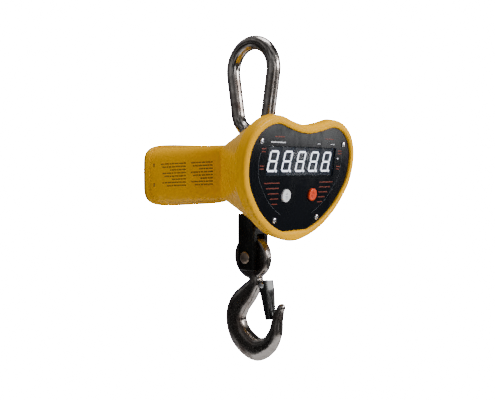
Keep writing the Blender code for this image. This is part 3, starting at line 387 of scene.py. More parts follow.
def smooth_path(points, steps, closed=False):
    """Catmull-Rom curve through tuples of any length."""
    count = len(points)
    result = []
    for i in range(count if closed else count - 1):
        if closed:
            around = [points[(i + k) % count] for k in (-1, 0, 1, 2)]
        else:
            around = [points[min(max(i + k, 0), count - 1)] for k in (-1, 0, 1, 2)]
        for step in range(steps):
            t = step / steps
            weights = (
                (-t + 2 * t * t - t ** 3) / 2,
                (2 - 5 * t * t + 3 * t ** 3) / 2,
                (t + 4 * t * t - 3 * t ** 3) / 2,
                (t ** 3 - t * t) / 2,
            )
            axes = range(len(points[0]))
            result.append(tuple(sum(w * p[k] for w, p in zip(weights, around)) for k in axes))
    if not closed:
        result.append(tuple(points[-1]))
    return result


def modify(made, kind, **settings):
    step = made.modifiers.new(kind.lower(), kind)
    for key, value in settings.items():
        setattr(step, key, value)
    return step


def apply_modifiers(made):
    graph = bpy.context.evaluated_depsgraph_get()
    mesh = bpy.data.meshes.new_from_object(made.evaluated_get(graph))
    old = made.data
    made.modifiers.clear()
    made.data = mesh
    bpy.data.meshes.remove(old)


def tool(shape):
    """A hidden shape for a Boolean, removed when its cut is applied."""
    points, faces = shape
    mesh = bpy.data.meshes.new("tool")
    mesh.from_pydata([Vector(p) for p in points], [], faces)
    work = bmesh.new()
    work.from_mesh(mesh)
    bmesh.ops.recalc_face_normals(work, faces=work.faces)
    work.to_mesh(mesh)
    work.free()
    made = bpy.data.objects.new("tool", mesh)
    bpy.context.scene.collection.objects.link(made)
    return made


def boolean(made, operation, shapes):
    tools = [tool(shape) for shape in shapes]
    for other in tools:
        modify(made, "BOOLEAN", operation=operation, object=other, solver="EXACT")
        apply_modifiers(made)
    for other in tools:
        bpy.data.objects.remove(other, do_unlink=True)


def soften(made, voxel, rounds):
    """Joins overlapping shapes into one forging with filleted corners."""
    modify(made, "REMESH", mode="VOXEL", voxel_size=voxel, use_smooth_shade=True)
    modify(made, "SMOOTH", factor=0.5, iterations=rounds)
    apply_modifiers(made)
    made.data.shade_smooth()


def block(low, high):
    corners = [(low[0], low[1]), (high[0], low[1]), (high[0], high[1]), (low[0], high[1])]
    return skin([[(x, y, low[2]) for x, y in corners], [(x, y, high[2]) for x, y in corners]])


def bevelled(made, width, segments=3, angle=40.0):
    limit = math.radians(angle)
    modify(made, "BEVEL", width=width, segments=segments, limit_method="ANGLE", angle_limit=limit)
    apply_modifiers(made)
    made.data.shade_smooth()
    made.data.set_sharp_from_angle(angle=math.radians(50))


# Sizes taken from the frame, and the display face's own frame

TILT = math.radians(8.8)
FACE_Y, FACE_Z = -0.0912, -0.2022
FACE = Matrix.Translation((0.0, FACE_Y, FACE_Z)) @ Matrix.Rotation(TILT, 4, "X")
SHELL_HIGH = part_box("front_shell")[1]
REAR_LOW, REAR_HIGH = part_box("rear_shell")
COVER_LOW, COVER_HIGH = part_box("rear_cover")
HEART_HALF_WIDTH = SHELL_HIGH.x
HEART_LOBE, HEART_NOTCH, HEART_CHIN = 0.0965, 0.0855, 0.0825
BEZEL, PANEL_FLOOR = 0.0115, 0.0660
WALL = 0.0040
GAP = 0.0003                 # between pieces that touch
JOINT_Y = (SHELL_HIGH.y + REAR_LOW.y) / 2
WAIST_HALF, WAIST_TOP, WAIST_BOTTOM = 0.0420, -0.1425, -0.2265
WAIST_SQUARENESS, REAR_SQUARENESS = 7.0, 5.0
RIM = 0.0025
COVER_RAISED = 0.0018        # height of the cover's raised middle
COVER_CUT = (0.12, 0.16)     # from inside the rear cover to well behind it

PANEL_THICKNESS = 0.0030
PANEL_CUT = (-0.01, 0.01)
WINDOW_HALF_WIDTH = 0.0762
WINDOW_LOW, WINDOW_HIGH = 0.0130, 0.0550
LENS_DEPTH, LENS_THICKNESS = 0.0004, 0.0020
SCREW_BORE = 0.0018
UPPER_SCREW = (0.0923, 0.0608)
LOWER_SCREW = (0.0478, -0.0490)
PANEL_SCREWS = [(side * u, v) for u, v in (UPPER_SCREW, LOWER_SCREW) for side in (-1, 1)]
DIGIT_COUNT = 5
DIGIT_PITCH = (2 * WINDOW_HALF_WIDTH - 0.0022) / DIGIT_COUNT
DIGIT_FRONT, DIGIT_DEPTH = 0.0036, 0.0098
DIGIT_MIDDLE = 0.0335        # height of the digits' middle above the face's centre
BUTTON_X, BUTTON_V = 0.0300, -0.0144
BUTTON_RADIUS, BUTTON_PROUD = 0.0090, 0.0030
PRINT_LIFT = 0.00008         # thickness of ink above what it is printed on

RING_TOP_RADIUS, RING_FOOT_RADIUS, RING_INSIDE_HEIGHT = 0.0410, 0.0310, 0.1125
SLEEVE_WALL = 0.0025
FORK_TOP = -0.2470
FORK_CHEEK = 0.0096
PIN_Z = -0.3130
PIN_BORE, RIVET_BORE = 0.0081, 0.0028
CROSS_CUT = (-0.05, 0.05)    # right through the hook or the fork, along X
HOOK_EYE_RADIUS, HOOK_EYE_HALF_WIDTH = 0.0335, 0.0079
LATCH_PIN = (0.0, -0.0260, -0.3530)
LATCH_LEAN = math.radians(10.5)
LATCH_HALF_WIDTH = 0.0098


def heart_outline(steps):
    wide, high, chin = HEART_HALF_WIDTH, HEART_LOBE, HEART_CHIN
    right_side = [
        (0.24 * wide, 0.930 * high),
        (0.48 * wide, 1.000 * high),
        (0.70 * wide, 0.945 * high),
        (0.87 * wide, 0.790 * high),
        (0.97 * wide, 0.570 * high),
        (1.00 * wide, 0.320 * high),
        (0.965 * wide, 0.030 * high),
        (0.855 * wide, -0.260 * chin),
        (0.705 * wide, -0.530 * chin),
        (0.480 * wide, -0.785 * chin),
        (0.225 * wide, -0.945 * chin),
    ]
    left_side = [(-u, v) for u, v in reversed(right_side)]
    return smooth_path([(0.0, HEART_NOTCH), *right_side, (0.0, -chin), *left_side], steps, closed=True)


HEART = heart_outline(8)


def heart(inset, floor=None):
    result = []
    count = len(HEART)
    for i, (u, v) in enumerate(HEART):
        before, after = HEART[i - 2], HEART[(i + 2) % count]
        along = Vector((after[0] - before[0], after[1] - before[1])).normalized()
        v_in = v - along.x * inset
        if floor is not None:
            v_in = max(v_in, -floor)
        result.append((u + along.y * inset, v_in))
    return result


def on_face(outline, depth):
    return [tuple(FACE @ Vector((u, depth, v))) for u, v in outline]


def section(half_width, top, bottom, y, power):
    middle, half_height = (top + bottom) / 2, (top - bottom) / 2
    ring = []
    for u, v in HEART:
        turn = math.atan2((v - 0.1 * HEART_LOBE) / HEART_LOBE, u / HEART_HALF_WIDTH)
        reach = (abs(math.cos(turn)) ** power + abs(math.sin(turn)) ** power) ** (-1 / power)
        ring.append((math.cos(turn) * half_width * reach, y, middle + math.sin(turn) * half_height * reach))
    return ring


def between(first, second, share):
    return [tuple(a + (b - a) * share for a, b in zip(p, q)) for p, q in zip(first, second)]


def waist(inset, y):
    return section(WAIST_HALF - inset, WAIST_TOP - inset, WAIST_BOTTOM + inset, y, WAIST_SQUARENESS)


REAR_HALF = REAR_HIGH.x - RIM
REAR_TOP, REAR_BOTTOM = REAR_HIGH.z - RIM, REAR_LOW.z + RIM


def rear(inset, y):
    return section(REAR_HALF - inset, REAR_TOP - inset, REAR_BOTTOM + inset, y, REAR_SQUARENESS)


def make_front_shell():
    """Rolled bezel lip, straight side, and a cone that runs back to the waist."""
    end = JOINT_Y - 0.00012
    cone_front, outer_waist = on_face(heart(0.0030), 0.0155), waist(0.0, end)
    inner_front, inner_waist = on_face(heart(0.0030 + WALL), 0.0190), waist(WALL, end)
    rings = [on_face(heart(inset), depth) for inset, depth in arc((0.0052, 0.0020), 0.0052, 264, 180, 7)]
    rings += [on_face(heart(0.0), 0.0105)]
    rings += [on_face(heart(inset), depth) for inset, depth in arc((0.0034, 0.0118), 0.0034, 180, 110, 4)]
    rings += [between(cone_front, outer_waist, i / 12) for i in range(13)]
    rings += [between(inner_waist, inner_front, i / 4) for i in range(5)]
    rings += [
        on_face(heart(0.0030 + WALL), 0.0110),
        on_face(heart(BEZEL + 0.0075, PANEL_FLOOR - 0.0070), 0.0080),
        on_face(heart(BEZEL + 0.0075, PANEL_FLOOR - 0.0070), 0.0045),
        on_face(heart(BEZEL, PANEL_FLOOR + 0.0003), 0.0045),
        on_face(heart(BEZEL, PANEL_FLOOR + 0.0003), -0.0014),
        on_face(heart(BEZEL - 0.0005, PANEL_FLOOR + 0.0008), -0.0024),
        on_face(heart(BEZEL - 0.0016, PANEL_FLOOR + 0.0019), -0.0030),
        on_face(heart(BEZEL - 0.0036), -0.0034),
    ]
    shape = skin(rings, loop=True)
    shell = piece("front_casting", shape, YELLOW, "scale", ["front_shell"], 38.0)
    ring_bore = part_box("ring_sleeve")[1].x + GAP
    fork_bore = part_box("fork_sleeve")[1].x + GAP
    seat_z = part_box("fork_sleeve")[0].z
    stepped = [(0.0250, -0.320), (0.0250, seat_z), (fork_bore, seat_z), (fork_bore, -0.200)]
    pad = block((-0.0260, -0.0300, seat_z + 0.0005), (0.0260, -0.0110, seat_z + 0.0045))
    boolean(shell, "UNION", [pad])
    boolean(shell, "DIFFERENCE", [turned(stepped), bore(ring_bore, (-0.170, -0.100), axis="Z", sides=48)])
    shell.data.set_sharp_from_angle(angle=math.radians(38))
    return shell


def make_rear_shell():
    start, end = JOINT_Y + 0.00012, REAR_HIGH.y
    first, last = waist(0.0, start), rear(0.0, end)
    rim_front = end - 0.0055
    share = (rim_front - start) / (end - start)
    rings = [between(first, last, share * i / 12) for i in range(13)]
    fillet = between(first, last, share)
    rim_profile = [
        (0.0006, 0.0004),
        (0.0016, 0.0006),
        (RIM - 0.0012, 0.0006),
        (RIM - 0.0003, 0.0010),
        (RIM, 0.0019),
    ]
    for outward, forward in rim_profile:
        rings.append(grown(fillet, outward, rim_front + forward))
    rings += [rear(-RIM, end - 0.0004), rear(-RIM + 0.0004, end), rear(WALL, end)]
    inner_first, inner_last = waist(WALL, start), rear(WALL, end)
    rings += [between(inner_last, inner_first, i / 4) for i in range(1, 5)]
    shape = skin(rings, loop=True)
    return piece("rear_casting", shape, YELLOW, "scale", ["rear_shell"], 38.0)


def grown(ring, outward, y):
    """A section moved outwards in its own plane and set at depth y."""
    result = []
    count = len(ring)
    for i, (x, _, z) in enumerate(ring):
        before, after = ring[i - 1], ring[(i + 1) % count]
        along = Vector((after[0] - before[0], after[2] - before[2])).normalized()
        result.append((x - along.y * outward, y, z + along.x * outward))
    return result


def make_rear_cover():
    """Pressed cover with a raised middle, its screws in the corners, behind a thin grey seal."""
    front, back = COVER_LOW.y, COVER_HIGH.y
    plate = back - COVER_RAISED
    rings = [
        rear(-RIM + 0.0003, front),
        rear(-RIM, front + 0.0004),
        rear(-RIM, plate - 0.0010),
        rear(-RIM + 0.0003, plate - 0.0003),
        rear(-RIM + 0.0010, plate),
        rear(0.0080, plate),
        rear(0.0086, plate + 0.0004),
        rear(0.0096, back - 0.0004),
        rear(0.0104, back),
    ]
    cover = piece("rear_cover_panel", skin(rings), YELLOW, "scale", ["rear_cover"], 38.0)
    cuts = []
    for number in range(1, 5):
        low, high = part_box(f"rear_screw_{number}")
        middle = (low + high) / 2
        place = (middle.x, 0.0, middle.z)
        cuts.append(bore(SCREW_BORE, COVER_CUT, place))
        cuts.append(bore(0.0048, (plate, COVER_CUT[1]), place, sides=32))
    low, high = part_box("switch_frame")
    flange = 0.0020
    switch_low = (low.x + flange, COVER_CUT[0], low.z + flange)
    switch_high = (high.x - flange, COVER_CUT[1], high.z - flange)
    cuts.append(block(switch_low, switch_high))
    low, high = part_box("charge_socket")
    middle = (low + high) / 2
    cuts.append(bore(0.0060, COVER_CUT, (middle.x, 0.0, middle.z), sides=32))
    boolean(cover, "DIFFERENCE", cuts)
    cover.data.set_sharp_from_angle(angle=math.radians(38))
    low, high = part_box("rear_gasket")
    seal = [rear(-RIM + 0.0004, low.y), rear(-RIM + 0.0004, high.y), rear(WALL, high.y), rear(WALL, low.y)]
    piece("rear_seal", skin(seal, loop=True), RUBBER, "scale", ["rear_gasket"])
    low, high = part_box("waist_gasket")
    seal = [waist(0.0014, low.y), waist(0.0014, high.y), waist(WALL, high.y), waist(WALL, low.y)]
    piece("waist_seal", skin(seal, loop=True), RUBBER, "scale", ["waist_gasket"])


def cross_screw(name, node, material, axis_out, place, head, facing=None):
    """A domed screw with a cross recess. `axis_out` is -1 when its head looks to -Y."""
    head_radius, head_height, shank, length = head
    profile = [(shank, -length), (shank, -0.0002), (head_radius - 0.0002, 0.0), (head_radius, 0.0004)]
    crown = head_height - 0.0004
    for i in range(1, 8):
        turn = math.radians(90 * i / 8)
        profile.append((head_radius * math.cos(turn), 0.0004 + crown * math.sin(turn)))
    shape = turned([(r, axis_out * h) for r, h in profile], place, "Y", 32)
    made = piece(name, shape, material, "scale", [node], 40.0)
    wide, reach, deep = head_radius * 0.16, head_radius * 0.62, head_height * 0.45
    x, y, z = place
    near, far = sorted((y + axis_out * (head_height - deep), y + axis_out * (head_height + 0.002)))
    bars = [
        block((x - reach, near, z - wide), (x + reach, far, z + wide)),
        block((x - wide, near, z - reach), (x + wide, far, z + reach)),
    ]
    boolean(made, "DIFFERENCE", bars)
    made.data.set_sharp_from_angle(angle=math.radians(40))
    if facing is not None:
        made.data.transform(facing)
    return made


def make_rear_fittings():
    plate = COVER_HIGH.y - COVER_RAISED
    for number in range(1, 5):
        low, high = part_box(f"rear_screw_{number}")
        place = ((low.x + high.x) / 2, plate + GAP, (low.z + high.z) / 2)
        head = (0.0035, 0.0022, 0.0015, 0.0095)
        cross_screw(f"cover_screw_{number}", f"rear_screw_{number}", ZINC, 1, place, head)
    NODES["switch_frame"].data.materials[0] = NYLON
    NODES["charge_socket"].data.materials[0] = NYLON
    low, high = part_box("power_rocker")
    middle = (low + high) / 2
    lean = math.radians(-8.0)
    half, steps = 0.0093, 12
    crown = [(-half, 0.0002)]
    for i in range(steps + 1):
        share = 2 * i / steps - 1
        crown.append((half * share, 0.0016 + 0.0014 * share ** 2))
    crown += [(half, 0.0002), (0.0050, -0.0024), (0.0, -0.0035), (-0.0050, -0.0024)]
    pivot_y = COVER_HIGH.y + 0.0004
    rings = []
    for x in (-0.0052, -0.0049, 0.0049, 0.0052):
        tuck = 0.0003 if abs(x) > 0.0050 else 0.0
        ring = []
        for z, y in crown:
            y_in = y - tuck if y > 0.0 else y
            turned_y = y_in * math.cos(lean) - z * math.sin(lean)
            turned_z = y_in * math.sin(lean) + z * math.cos(lean)
            ring.append((middle.x + x, pivot_y + turned_y, middle.z + turned_z))
        rings.append(ring)
    piece("power_rocker_cap", skin(rings), NYLON, "power_rocker", ["power_rocker"])


def flank_point(t, height, lift):
    """A place on the left flank: t from waist to rear, and its height above the middle."""
    ring = between(waist(0.0, JOINT_Y), rear(0.0, REAR_HIGH.y), t)
    middle = (ring[0][2] + ring[len(ring) // 2][2]) / 2
    left = sorted((z - middle, x) for x, _, z in ring if x < 0.0)
    for (low_z, low_x), (high_z, high_x) in zip(left, left[1:]):
        if low_z <= height <= high_z:
            share = (height - low_z) / max(high_z - low_z, 1e-9)
            x = low_x + (high_x - low_x) * share
            break
    slope = Vector((-(REAR_HIGH.y - JOINT_Y), -(REAR_HALF - WAIST_HALF), 0.0)).normalized()
    return tuple(Vector((x, ring[0][1], middle + height)) + slope * lift)


def make_flank_print():
    """Rows of plain dashes stand for the small print on the left flank."""
    points, faces = [], []

    def dash(start, end, height, thick):
        steps = 4
        base = len(points)
        for lift in (-0.0004, 0.00012):
            for i in range(steps + 1):
                t = start + (end - start) * i / steps
                points.append(flank_point(t, height - thick / 2, lift))
                points.append(flank_point(t, height + thick / 2, lift))
        row = 2 * (steps + 1)
        for i in range(steps):
            a, b = base + 2 * i, base + row + 2 * i
            faces.extend([(b, b + 1, b + 3, b + 2), (a, a + 2, a + 3, a + 1)])
            faces.extend([(a, b, b + 2, a + 2), (a + 1, a + 3, b + 3, b + 1)])
        last = base + 2 * steps
        first_end = (base, base + 1, base + row + 1, base + row)
        last_end = (last, last + row, last + row + 1, last + 1)
        faces.extend([first_end, last_end])

    lengths = (1.0, 0.93, 0.62, 0.97, 0.88, 0.55, 0.95, 0.80)
    for column_start, column_end in ((0.10, 0.40), (0.46, 0.80)):
        for row, length in enumerate(lengths):
            height = 0.0165 - row * 0.0048
            t = column_start
            word = 0
            stop = column_start + (column_end - column_start) * length
            while t < stop - 0.01:
                word_length = 0.022 + 0.013 * ((row * 5 + word * 3) % 4)
                dash(t, min(t + word_length, stop), height, 0.0019)
                t += word_length + 0.008
                word += 1
    dash(0.885, 0.905, 0.0, 0.036)
    piece("flank_label_print", (points, faces), LABEL_INK, "scale")


# Display

def slab(outline, front, back):
    return skin([[(u, depth, v) for u, v in outline] for depth in (front, back)])


def make_panel():
    rings = []
    for inset, depth in ((0.0006, 0.0), (GAP, 0.0003), (GAP, PANEL_THICKNESS)):
        rings.append([(u, depth, v) for u, v in heart(BEZEL + inset, PANEL_FLOOR - inset + GAP)])
    panel = piece("display_panel", skin(rings), FILM, "scale", ["front_panel"], 38.0)
    window_low = (-WINDOW_HALF_WIDTH, PANEL_CUT[0], WINDOW_LOW)
    window_high = (WINDOW_HALF_WIDTH, PANEL_CUT[1], WINDOW_HIGH)
    cuts = [block(window_low, window_high)]
    for side in (-1, 1):
        cuts.append(bore(BUTTON_RADIUS + GAP, PANEL_CUT, (side * BUTTON_X, 0.0, BUTTON_V), sides=64))
    for u, v in PANEL_SCREWS:
        cuts.append(bore(SCREW_BORE, PANEL_CUT, (u, 0.0, v)))
    boolean(panel, "DIFFERENCE", cuts)
    panel.data.transform(FACE)
    panel.data.set_sharp_from_angle(angle=math.radians(38))
    for number, (u, v) in enumerate(PANEL_SCREWS, 1):
        head = (0.0042, 0.0024, 0.0015, 0.0120)
        name, node = f"panel_dome_screw_{number}", f"panel_screw_{number}"
        cross_screw(name, node, CHROME, -1, (u, -GAP, v), head, FACE)


def segment(start, end, width):
    """A bar with pointed ends between two places on the digit."""
    a, b = Vector(start), Vector(end)
    along = (b - a).normalized()
    side = Vector((-along.y, along.x)) * (width / 2)
    tip = along * (width / 2)
    return [a, a + tip + side, b - tip + side, b, b - tip - side, a + tip - side]


def make_digits():
    lean = math.tan(math.radians(8.5))
    half_width, half_height, width = 0.0078, 0.0136, 0.0025
    gap = 0.00045
    corners = {
        "a": ((-half_width, half_height), (half_width, half_height)),
        "g": ((-half_width, 0.0), (half_width, 0.0)),
        "d": ((-half_width, -half_height), (half_width, -half_height)),
        "f": ((-half_width, half_height), (-half_width, 0.0)),
        "b": ((half_width, half_height), (half_width, 0.0)),
        "e": ((-half_width, 0.0), (-half_width, -half_height)),
        "c": ((half_width, 0.0), (half_width, -half_height)),
    }
    for number in range(DIGIT_COUNT):
        middle = (number - (DIGIT_COUNT - 1) / 2) * DIGIT_PITCH
        node = f"digit_{number + 1}"
        make_module(node, middle)
        for letter, (start, end) in corners.items():
            a, b = Vector(start), Vector(end)
            inset = (b - a).normalized() * gap
            outline = segment(a + inset, b - inset, width)
            placed = [(middle - 0.0008 + u + v * lean, DIGIT_MIDDLE + v) for u, v in outline]
            light_bar(f"{node}_bar_{letter}", placed)
        dot = disc(0.0017, 20)
        dot_u = middle - 0.0008 + half_width + 0.0030 - half_height * lean
        light_bar(f"{node}_point", [(dot_u + u, DIGIT_MIDDLE - half_height + v) for u, v in dot])


def light_bar(name, outline):
    shape = slab(outline, DIGIT_FRONT - 0.00025, DIGIT_FRONT - 0.00005)
    piece(name, shape, SEGMENT, "scale", facing=FACE)


def make_module(node, middle):
    """One display block: a dark face inside a slightly lighter raised frame."""
    left, right = middle - DIGIT_PITCH / 2 + GAP / 2, middle + DIGIT_PITCH / 2 - GAP / 2
    low, high = WINDOW_LOW + 0.0005, WINDOW_HIGH - 0.0005
    shape = block((left, DIGIT_FRONT, low), (right, DIGIT_FRONT + DIGIT_DEPTH, high))
    body = piece(node + "_block", shape, MODULE, "scale", [node], facing=FACE)
    bevelled(body, 0.0003, 2)
    frame_rings = []
    for inset, depth in ((0.0, 0.0), (0.0, -0.00022), (0.00045, -0.00022), (0.00045, 0.0)):
        outline = bar(left + inset, right - inset, (low + high) / 2, high - low - 2 * inset)
        frame_rings.append([(u, DIGIT_FRONT - 0.00002 + depth, v) for u, v in outline])
    piece(node + "_frame", skin(frame_rings, loop=True), MODULE_EDGE, "scale", facing=FACE)


def make_lens():
    half = WINDOW_HALF_WIDTH - GAP
    low = (-half, LENS_DEPTH, WINDOW_LOW + GAP)
    high = (half, LENS_DEPTH + LENS_THICKNESS, WINDOW_HIGH - GAP)
    shape = block(low, high)
    lens = piece("display_window", shape, WINDOW, "scale", ["display_lens"], facing=FACE)
    bevelled(lens, 0.0003, 2)


def print_mark(name, outlines, material, depth=0.0, body="scale"):
    """Flat ink on the panel or a button, as thin closed plates."""
    points, faces = [], []
    for outline in outlines:
        shape_points, shape_faces = slab(outline, depth - PRINT_LIFT, depth + 0.0002)
        base = len(points)
        points += shape_points
        faces += [tuple(base + i for i in face) for face in shape_faces]
    return piece(name, (points, faces), material, body, facing=FACE)


def bar(u0, u1, v, thick):
    return [(u0, v - thick / 2), (u1, v - thick / 2), (u1, v + thick / 2), (u0, v + thick / 2)]


def make_panel_prints():
    red = []
    for side in (-1, 1):
        for row in range(5):
            v = 0.0036 - row * 0.0074
            outer = 0.0780 - row * 0.0052
            red.append(bar(*sorted((side * 0.0455, side * outer)), v, 0.00125))
        red.append(bar(*sorted((side * 0.0460, side * 0.0665)), 0.0676, 0.0010))
        for v in (0.0505, 0.0466, 0.0272, 0.0232):
            red.append(bar(*sorted((side * 0.0822, side * 0.0905)), v, 0.0012))
    print_mark("panel_red_marks", red, RED_INK)
    white = [
        bar(-0.0735, -0.0430, 0.0600, 0.0016),
        bar(0.0290, 0.0360, 0.0600, 0.0010),
        bar(0.0610, 0.0700, 0.0600, 0.0010),
        bar(0.0812, 0.0846, 0.0390, 0.0020),
    ]
    print_mark("panel_white_marks", white, WHITE_INK)
    grey = [contour_line(0.0315, 0.42, 0.88), contour_line(0.0315, 0.12, 0.20)]
    grey += [[(-u, v) for u, v in reversed(line)] for line in grey]
    print_mark("panel_contour_lines", grey, GREY_INK)


def contour_line(inset, start, end):
    """A hairline that follows the heart on the right side, between two shares of its half length."""
    half = len(HEART) // 2
    outer, inner = heart(inset), heart(inset + 0.00035)
    first, last = int(half * start), int(half * end)
    return outer[first:last] + inner[first:last][::-1]


def make_buttons():
    for node, material, ink, slot, side in (
        ("hold_button", WHITE_CAP, CAP_INK, "white_button", -1),
        ("tare_button", ORANGE_CAP, CAP_DARK_INK, "orange_button", 1),
    ):
        place = (side * BUTTON_X, 0.0, BUTTON_V)
        radius, proud = BUTTON_RADIUS, BUTTON_PROUD
        profile = [(0.0030, 0.0063), (0.0030, 0.0047), (radius + 0.0018, 0.0047), (radius + 0.0018, 0.0033)]
        profile += [(radius, 0.0033), (radius, -proud + 0.0012)]
        profile += [(r, -h) for r, h in arc((radius - 0.0010, proud - 0.0011), 0.0010, 0, 80, 6)]
        profile += [(radius * 0.75, -proud + 0.0002), (radius * 0.4, -proud + 0.00045)]
        profile += [(0.0004, -proud + 0.0005)]
        piece(node + "_cap", turned(profile, place, "Y", 64), material, node, [node], 38.0, FACE)
        u, v = place[0], place[2]
        face, foot, peak = -proud + 0.0003, v + 0.0023, v + 0.0045
        marks = [
            bar(u - 0.0020, u + 0.0020, v + 0.00205, 0.0005),
            [(u - 0.0020, foot), (u - 0.0014, foot), (u + 0.0003, peak), (u - 0.0003, peak)],
            [(u + 0.0014, foot), (u + 0.0020, foot), (u + 0.0003, peak), (u - 0.0003, peak)],
            bar(u - 0.0030, u + 0.0030, v - 0.0010, 0.0008),
            bar(u - 0.0026, u + 0.0026, v - 0.0028, 0.0008),
            bar(u - 0.0018, u + 0.0018, v - 0.0045, 0.0007),
        ]
        print_mark(node + "_print", marks, ink, face, node)


# Load train

def points_between(first, second, steps):
    """The points that cut a straight line into equal steps, without its ends."""
    return [tuple(a + (b - a) * i / steps for a, b in zip(first, second)) for i in range(1, steps)]


def make_ring():
    """Forged eye on a turned neck, its joint filleted."""
    low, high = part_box("lifting_ring")
    radius = high.z / 2
    top_centre = radius - RING_TOP_RADIUS
    foot_centre = RING_FOOT_RADIUS - radius - RING_INSIDE_HEIGHT
    lean = math.degrees(math.asin((RING_TOP_RADIUS - RING_FOOT_RADIUS) / (top_centre - foot_centre)))
    crown = arc((0.0, top_centre), RING_TOP_RADIUS, -lean, 180 + lean, 40)
    foot = arc((0.0, foot_centre), RING_FOOT_RADIUS, 180 + lean, 360 - lean, 30)
    path = crown + points_between(crown[-1], foot[0], 10) + foot + points_between(foot[-1], crown[0], 10)
    rings = []
    count = len(path)
    for i, (y, z) in enumerate(path):
        before, after = path[i - 1], path[(i + 1) % count]
        along = Vector((0.0, after[0] - before[0], after[1] - before[1])).normalized()
        side = along.cross(Vector((1.0, 0.0, 0.0)))
        ring = []
        for k in range(40):
            turn = math.tau * k / 40
            offset = side * (radius * math.cos(turn)) + Vector((radius * math.sin(turn), 0.0, 0.0))
            ring.append((offset.x, y + offset.y, z + offset.z))
        rings.append(ring)
    shape = skin(rings, loop=True)
    ring_piece = piece("forged_eye", shape, FORGED, "scale", ["lifting_ring"])
    neck_top = -RING_INSIDE_HEIGHT - 0.0020
    neck = [
        (0.0205, low.z),
        (0.0215, low.z + 0.0010),
        (0.0215, neck_top - 0.0110),
        (0.0196, neck_top - 0.0050),
        (0.0140, neck_top - 0.0010),
        (0.0090, neck_top),
    ]
    boolean(ring_piece, "UNION", [turned(neck, sides=64)])
    soften(ring_piece, 0.00115, 7)


def make_sleeves():
    for name, node, middle, slope, above in (
        ("eye_seal", "ring_sleeve", -0.1385, -0.21, 0.0022),
        ("fork_seal", "fork_sleeve", -0.2395, 0.52, 0.0080),
    ):
        low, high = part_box(node)
        outer = high.x
        inner = outer - SLEEVE_WALL
        lips = [
            (inner, above, False),
            (outer - 0.0006, above, False),
            (outer, above - 0.0006, False),
            (outer, 0.0, True),
            (inner, 0.0, True),
        ]
        rings = []
        for radius, level, is_foot in lips:
            ring = []
            for i in range(64):
                turn = math.tau * i / 64
                x, y = radius * math.cos(turn), radius * math.sin(turn)
                upper = middle + slope * y + level
                foot = max(min(upper - 0.0050, low.z + 0.0040), low.z)
                ring.append((x, y, foot if is_foot else upper))
            rings.append(ring)
        piece(name, skin(rings, loop=True), RUBBER, "scale", [node])


def make_fork():
    low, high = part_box("hook_fork")
    square = block(low, (high.x, high.y, FORK_TOP))
    fork = piece("fork_body", square, BLACK, "scale", ["hook_fork"])
    bevelled(fork, 0.0024, 4)
    neck = [
        (0.0140, FORK_TOP - 0.0100),
        (0.0150, FORK_TOP - 0.0090),
        (0.0150, high.z - 0.0010),
        (0.0140, high.z),
    ]
    boolean(fork, "UNION", [turned(neck, sides=64)])
    slot = (high.x - low.x) / 2 - FORK_CHEEK
    slot_top = PIN_Z + HOOK_EYE_RADIUS + 0.0025
    centre = (0.0, 0.0, PIN_Z)
    cuts = [
        block((-slot, CROSS_CUT[0], low.z - 0.0100), (slot, CROSS_CUT[1], slot_top)),
        bore(PIN_BORE, CROSS_CUT, centre, "X", 48),
    ]
    boolean(fork, "DIFFERENCE", cuts)
    fork.data.shade_smooth()
    fork.data.set_sharp_from_angle(angle=math.radians(35))
    side = high.x + GAP
    dome = side + 0.0006
    pin = [(0.0068, side + 0.0092), (0.0078, side + 0.0080), (0.0078, -side)]
    pin += [(0.0092, -side), (0.0092, -dome)]
    for i in range(1, 9):
        turn = math.radians(10 * i)
        pin.append((0.0092 * math.cos(turn), -dome - 0.0030 * math.sin(turn)))
    shape = turned(pin, centre, "X", 48)
    piece("fork_pin", shape, PIN_STEEL, "scale", ["hook_pin"], 38.0)
    NODES["pin_nut"].data.materials[0] = ZINC


# Hook centreline: (y, z, width in the hook's plane, thickness along X)
HOOK_STATIONS = [
    (-0.0030, -0.3360, 0.0260, 0.0140),
    (-0.0055, -0.3510, 0.0215, 0.0190),
    (0.0090, -0.3690, 0.0315, 0.0200),
    (0.0290, -0.3900, 0.0370, 0.0215),
    (0.0363, -0.4140, 0.0365, 0.0220),
    (0.0240, -0.4400, 0.0395, 0.0230),
    (-0.0060, -0.4545, 0.0370, 0.0235),
    (-0.0325, -0.4440, 0.0275, 0.0220),
    (-0.0462, -0.4235, 0.0205, 0.0190),
    (-0.0500, -0.4040, 0.0165, 0.0160),
    (-0.0548, -0.3890, 0.0125, 0.0130),
    (-0.0585, -0.3815, 0.0105, 0.0110),
    (-0.0600, -0.3785, 0.0050, 0.0060),
]


